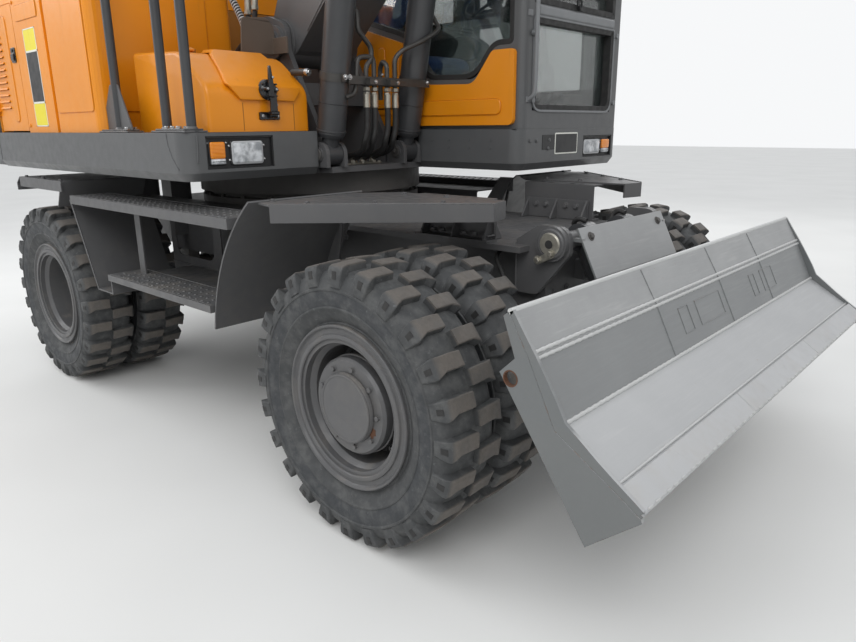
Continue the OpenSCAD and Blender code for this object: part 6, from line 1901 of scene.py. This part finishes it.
def boom_details():
    at = frame_at(BOOM_FOOT, 34)
    steel, rubber, grey, zinc = Kit(), Kit(), Kit(), Kit()
    for s in (-1, 1):
        for lane, y in ((0, 150), (1, 112)):
            path = [(24, 177, y), (968, 701, y), (1230, 848, y), (1470, 925, y), (1620, 962, y),
                (1720, 962 - 6 * lane, y)]
            steel.pipe([at(u, v, s * w) for u, v, w in path], 11, 60, 12)
            rubber.hose([at(20, 176, s * y), at(-60, 120, s * y), at(-120, 20, s * y),
                at(-130, -90, s * (y + 4))], 13)
            zinc.rod(at(4, 166, s * y), at(44, 188, s * y), 17, 18, chamfer=2)
        for u, v in ((300, 330), (700, 552), (1120, 784)):
            corners = ((-16, -6), (16, -6), (16, 36), (-16, 36))
            outline = [(u + du * 0.875 - dv * 0.485, v + du * 0.485 + dv * 0.875) for du, dv in corners]
            side_plate(grey, at, outline, s * 92, s * 170, 3)
        # Lines down the side to the tip
        for lane, dv in ((0, 0), (1, -44)):
            path = [(1760, 920, 120), (1830, 850 + dv, 196), (1960, 790 + dv, 206), (2420, 660 + dv, 206),
                (3300, 350 + dv, 206), (3950, 150 + dv, 206)]
            steel.pipe([at(u, v, s * w) for u, v, w in path], 11, 60, 12)
            zinc.rod(at(3950, 150 + dv, s * 206), at(3996, 134 + dv, s * 207), 17, 18, chamfer=2)
        for u, v in ((2200, 722), (2800, 526), (3400, 314), (3850, 176)):
            side_plate(grey, at, [(u - 18, v - 74), (u + 18, v - 74), (u + 18, v + 30), (u - 18, v + 30)],
                s * 189, s * 222, 3)
            for dv2 in (-62, 18):
                q = at(u, v + dv2, s * 222)
                zinc.nut(q, (0, s, 0), 8, 7)
        # Weld seams along the box
        grey.bead([at(u, v, s * 190.5) for u, v in ((900, 620), (1300, 838), (1700, 930), (2300, 796),
            (4200, 142))], 4)
        grey.bead([at(u, v, s * 190.5) for u, v in ((200, -80), (700, 12), (1500, 276), (1950, 440),
            (2600, 352), (4200, -76))], 4)
        pin_end(grey, at(0, 0, s * 272), (0, s, 0), 52, 3)
        pin_end(grey, at(1410, 670, s * 310.5), (0, s, 0), 62, 3)
        pin_end(grey, at(4600, 0, s * 202), (0, s, 0), 62, 3)
        pin_end(grey, at(2150, 1060, s * 116), (0, s, 0), 46, 2)
    grey.make("boom_fittings", "boom", "chassis_grey")
    steel.make("boom_pipes", "boom", "pipe_steel")
    zinc.make("boom_unions", "boom", "zinc")
    rubber.make("boom_foot_hoses", "boom", "black_rubber")
    # Work lamp on each side of the boom
    b, lens = Kit(), Kit()
    for s in (-1, 1):
        x, y, z = at(1700, 560, s * 190)
        b.box((x - 40, y - (20 if s < 0 else 0), z - 16), (x, y + (20 if s > 0 else 0), z + 16), 2)
        b.plate("x", tile(y + s * 18, y + s * 128, z - 55, z + 55, 16), x - 50, x + 26, 8)
        lens.plate("x", tile(y + s * 27, y + s * 119, z - 46, z + 46, 12), x + 24, x + 29, 2)
    b.make("boom_lamp_bodies", "boom", "black_plastic")
    lens.make("boom_lamp_lenses", "boom", "lamp_lens")
    # Hoses over the boom's tip to the arm
    arm_at = frame_at(BOOM_TIP, -75)
    b = Kit()
    for s in (-1, 1):
        for dv in (0, -44):
            p, q = Vector(at(3990, 138 + dv, s * 207)), Vector(at(4110, 110 + dv, s * 226))
            e0, e1 = Vector(arm_at(90, 310 + dv * 0.6, s * 128)), Vector(arm_at(250, 380 + dv * 0.6, s * 104))
            m = Vector(at(4420, 300 + dv, s * 262))
            b.hose([tuple(p), tuple(q), tuple(q.lerp(m, 0.6)), tuple(m),
                tuple(m.lerp(e0, 0.55) + Vector((30, s * 18, 40))), tuple(e0), tuple(e1)], 13, 12, 8)
    o = b.make("boom_tip_hoses", None, "black_rubber")
    tuple(P(*at(4150, 110, 0)))
    tuple(P(*arm_at(60, 260, 0)))
    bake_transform(o)
    b = Kit()
    for s in (-1, 1):
        b.hose([at(1722, 962, s * 112), at(1800, 985, s * 110), at(1900, 1010, s * 96), at(2010, 1040, s * 60),
            at(2060, 1090, s * 40)], 12)
    b.make("arm_cylinder_hoses", "boom", "black_rubber")


def arm_details():
    at = frame_at(BOOM_TIP, -75)
    b, steel = Kit(), Kit()
    for s in (-1, 1):
        b.bead([at(u, v, s * 150.5) for u, v in ((0, 200), (120, 236), (600, 190), (1400, 92), (2300, 62))], 4)
        b.bead([at(u, v, s * 150.5) for u, v in ((0, -126), (700, -102), (2300, -62))], 4)
        pin_end(b, at(1980, 0, s * 182), (0, s, 0), 46, 2)
        pin_end(b, at(330, 430, s * 104), (0, s, 0), 46, 2)
        steel.pipe([at(360, 330, s * 120), at(640, 226, s * 132), at(1300, 148, s * 132),
            at(1420, 150, s * 120)], 9, 40, 10)
        for u, v in ((700, 206), (1150, 156)):
            side_plate(b, at, [(u - 14, v - 10), (u + 14, v - 10), (u + 14, v + 22), (u - 14, v + 22)],
                s * 112, s * 148, 3)
    b.make("arm_fittings", "arm", "chassis_grey")
    steel.make("arm_pipes", "arm", "pipe_steel")


def bucket_details():
    at = frame_at(BUCKET_PIN, -148)
    b = Kit()
    for s in (-1, 1):
        side_plate(b, at, [(880, 44), (1165, 12), (1180, 44), (1010, 96), (900, 120)], s * 500, s * 514, 2)
        for u, v in ((930, 78), (1010, 62), (1090, 48)):
            b.nut(at(u, v, s * 514), (0, s, 0), 14, 12)
        b.bead([at(u, v, s * 501) for u, v in ((-10, 190), (84, 552), (474, 610), (750, 240), (1140, 26))], 5)
    for y in (-330, -110, 110, 330):
        side_plate(b, at, [(1128, 16), (1140, 40), (1060, 90), (1050, 68)], y - 60, y + 60, 3)
    for y in (-440, -220, 0, 220, 440):
        side_plate(b, at, [(1080, 56), (1150, 58), (1200, 34), (1196, 14), (1130, -2), (1076, 12)],
            y - 40, y + 40, 5)
        for s in (-1, 1):
            q = at(1150, 26, y + s * 40)
            b.rod(q, (q[0], q[1] + s * 7, q[2]), 12, 16, chamfer=2)
    for u0, v0, u1, v1 in ((120, 590, 440, 640), (500, 628, 740, 296)):
        for y in (-300, 0, 300):
            d = Vector((u1 - u0, v1 - v0)).normalized()
            n = Vector((-d.y, d.x))
            outline = [(u0, v0), (u0 + n.x * 14, v0 + n.y * 14), (u1 + n.x * 14, v1 + n.y * 14), (u1, v1)]
            side_plate(b, at, outline, y - 35, y + 35, 3)
    for s in (-1, 1):
        pin_end(b, at(0, 0, s * 252), (0, s, 0), 52, 3)
    b.make("bucket_fittings", "bucket", "cast_grey")


def cylinder_details():
    """Gland nuts, ports and eyes of the cylinders."""
    def ring(kit, origin, angle, u, y, r, width, out=0.006):
        c, d = math.cos(math.radians(angle)), math.sin(math.radians(angle))
        p = P(origin[0] + c * u, y, origin[1] + d * u)
        kit.revolve([(r, -width / 2), (r + out, -width / 2 + 0.002), (r + out, width / 2 - 0.002),
            (r, width / 2), (r, -width / 2)], p, (c, 0, d), 40)

    foot, top = (687.0, 1386.0), turned(BOOM_FOOT, 34, 1410, 670)
    ang = math.degrees(math.atan2(top[1] - foot[1], top[0] - foot[0]))
    b = Kit()
    for y in BARREL_Y:
        ring(b, foot, ang, 118, y, 0.0712, 0.010, 0.004)
        ring(b, foot, ang, 250, y, 0.0712, 0.004, 0.0022)
        ring(b, foot, ang, 1240, y, 0.0762, 0.012, 0.005)
        ring(b, foot, ang, 1305, y, 0.0600, 0.012, 0.010)
        c, d = math.cos(math.radians(ang)), math.sin(math.radians(ang))
        for k in range(8):
            a = 2 * math.pi * k / 8
            e1, e2 = Vector((0, 1, 0)), Vector((-d, 0, c))
            p = P(foot[0] + c * 1300, y, foot[1] + d * 1300)
            b.bolt(p + (e1 * math.cos(a) + e2 * math.sin(a)) * 0.064, (c, 0, d), 0.008, 0.009, False)
    b.make("boom_barrel_rings", "boom_barrels", "rail_grey")
    b = Kit()
    for s in (-1, 1):
        for y in BARREL_Y:
            b.rod((687, y + s * 74, 1386), (687, y + s * 82, 1386), 30, 28, chamfer=2)
            b.nut((687, y + s * 82, 1386), (0, s, 0), 9, 8)
    b.make("cylinder_foot_pins", "upper", "cast_grey")
    # Rod seals
    acf, ace = turned(BOOM_FOOT, 34, 2150, 1060), turned(BOOM_TIP, -75, -420, 249)
    ang = math.degrees(math.atan2(ace[1] - acf[1], ace[0] - acf[0]))
    b = Kit()
    ring(b, acf, ang, 60, BOOM_Y, 0.0702, 0.016, 0.006)
    ring(b, acf, ang, 1540, BOOM_Y, 0.0762, 0.012, 0.005)
    ring(b, acf, ang, 1620, BOOM_Y, 0.0560, 0.012, 0.012)
    c, d = math.cos(math.radians(ang)), math.sin(math.radians(ang))
    b.tube([P(acf[0] + c * 90 - d * 84, BOOM_Y, acf[1] + d * 90 + c * 84),
        P(acf[0] + c * 1500 - d * 84, BOOM_Y, acf[1] + d * 1500 + c * 84),
        P(acf[0] + c * 1570 - d * 80, BOOM_Y, acf[1] + d * 1570 + c * 80)], 0.011, 10)
    b.make("arm_barrel_rings", "arm_barrel", "rail_grey")
    bcf, bce = turned(BOOM_TIP, -75, 330, 430), turned(BOOM_TIP, -75, 1980 + 222, 284)
    ang = math.degrees(math.atan2(bce[1] - bcf[1], bce[0] - bcf[0]))
    b = Kit()
    ring(b, bcf, ang, 60, BOOM_Y, 0.0602, 0.016, 0.006)
    ring(b, bcf, ang, 1095, BOOM_Y, 0.0662, 0.012, 0.005)
    ring(b, bcf, ang, 1170, BOOM_Y, 0.0500, 0.012, 0.012)
    c, d = math.cos(math.radians(ang)), math.sin(math.radians(ang))
    b.tube([P(bcf[0] + c * 90 - d * 72, BOOM_Y, bcf[1] + d * 90 + c * 72),
        P(bcf[0] + c * 1060 - d * 72, BOOM_Y, bcf[1] + d * 1060 + c * 72)], 0.009, 10)
    b.make("bucket_barrel_rings", "bucket_barrel", "rail_grey")


def door_and_bay():
    b = Kit()
    b.box((258, 1160, 1568.3), (1262, 1200, 2982), 3)
    windows = Kit()
    for z0, z1 in ((1700, 2160), (2230, 2900)):
        windows.plate("y", tile(338, 1182, z0, z1, 40), 1150, 1210)
    o = b.make("door_body", "cab_door", "skirt_grey", replaces=["cab_door"])
    carve(o, windows)
    b = Kit()
    for z in (1800, 2300, 2800):
        b.rod((250, 1212, z - 26), (250, 1212, z + 26), 11, 24, chamfer=2)
        b.box((250, 1203, z - 24), (290, 1216, z + 24), 2)
        b.nut((276, 1216, z - 12), (0, 1, 0), 6, 4, False)
        b.nut((276, 1216, z + 12), (0, 1, 0), 6, 4, False)
    b.make("door_hinge_leaves", "cab_door", "cast_grey")
    b = Kit()
    for z0, z1 in ((1700, 2160), (2230, 2900)):
        b.plate("y", tile(338, 1182, z0, z1, 40), 1175, 1181)
    b.make("door_panes", "cab_door", "pane_glass")
    # Front wall of the engine bay, and the strips above the side doors
    b = Kit()
    b.plate("x", [(-1158, 1326), (1158, 1326), (1158, 2236), (-1158, 2236)], -694, -688, 1)
    for y in (-900, -300, 300, 900):
        b.plate("x", tile(y - 230, y + 230, 1420, 2180, 40, 6), -688, -682, 5)
    b.make("bay_front_wall", "upper", "body_orange_dark")
    b = Kit()
    for s in (-1, 1):
        b.box((-1568, min(s * 1170, s * 1191), 2204), (-1111, max(s * 1170, s * 1191), 2239), 2)
    b.make("bay_strips", "upper", "body_orange")


wheel_details()
door_and_bay()
blade_details()
nose_details()
chassis_details()
boom_details()
arm_details()
bucket_details()
cylinder_details()
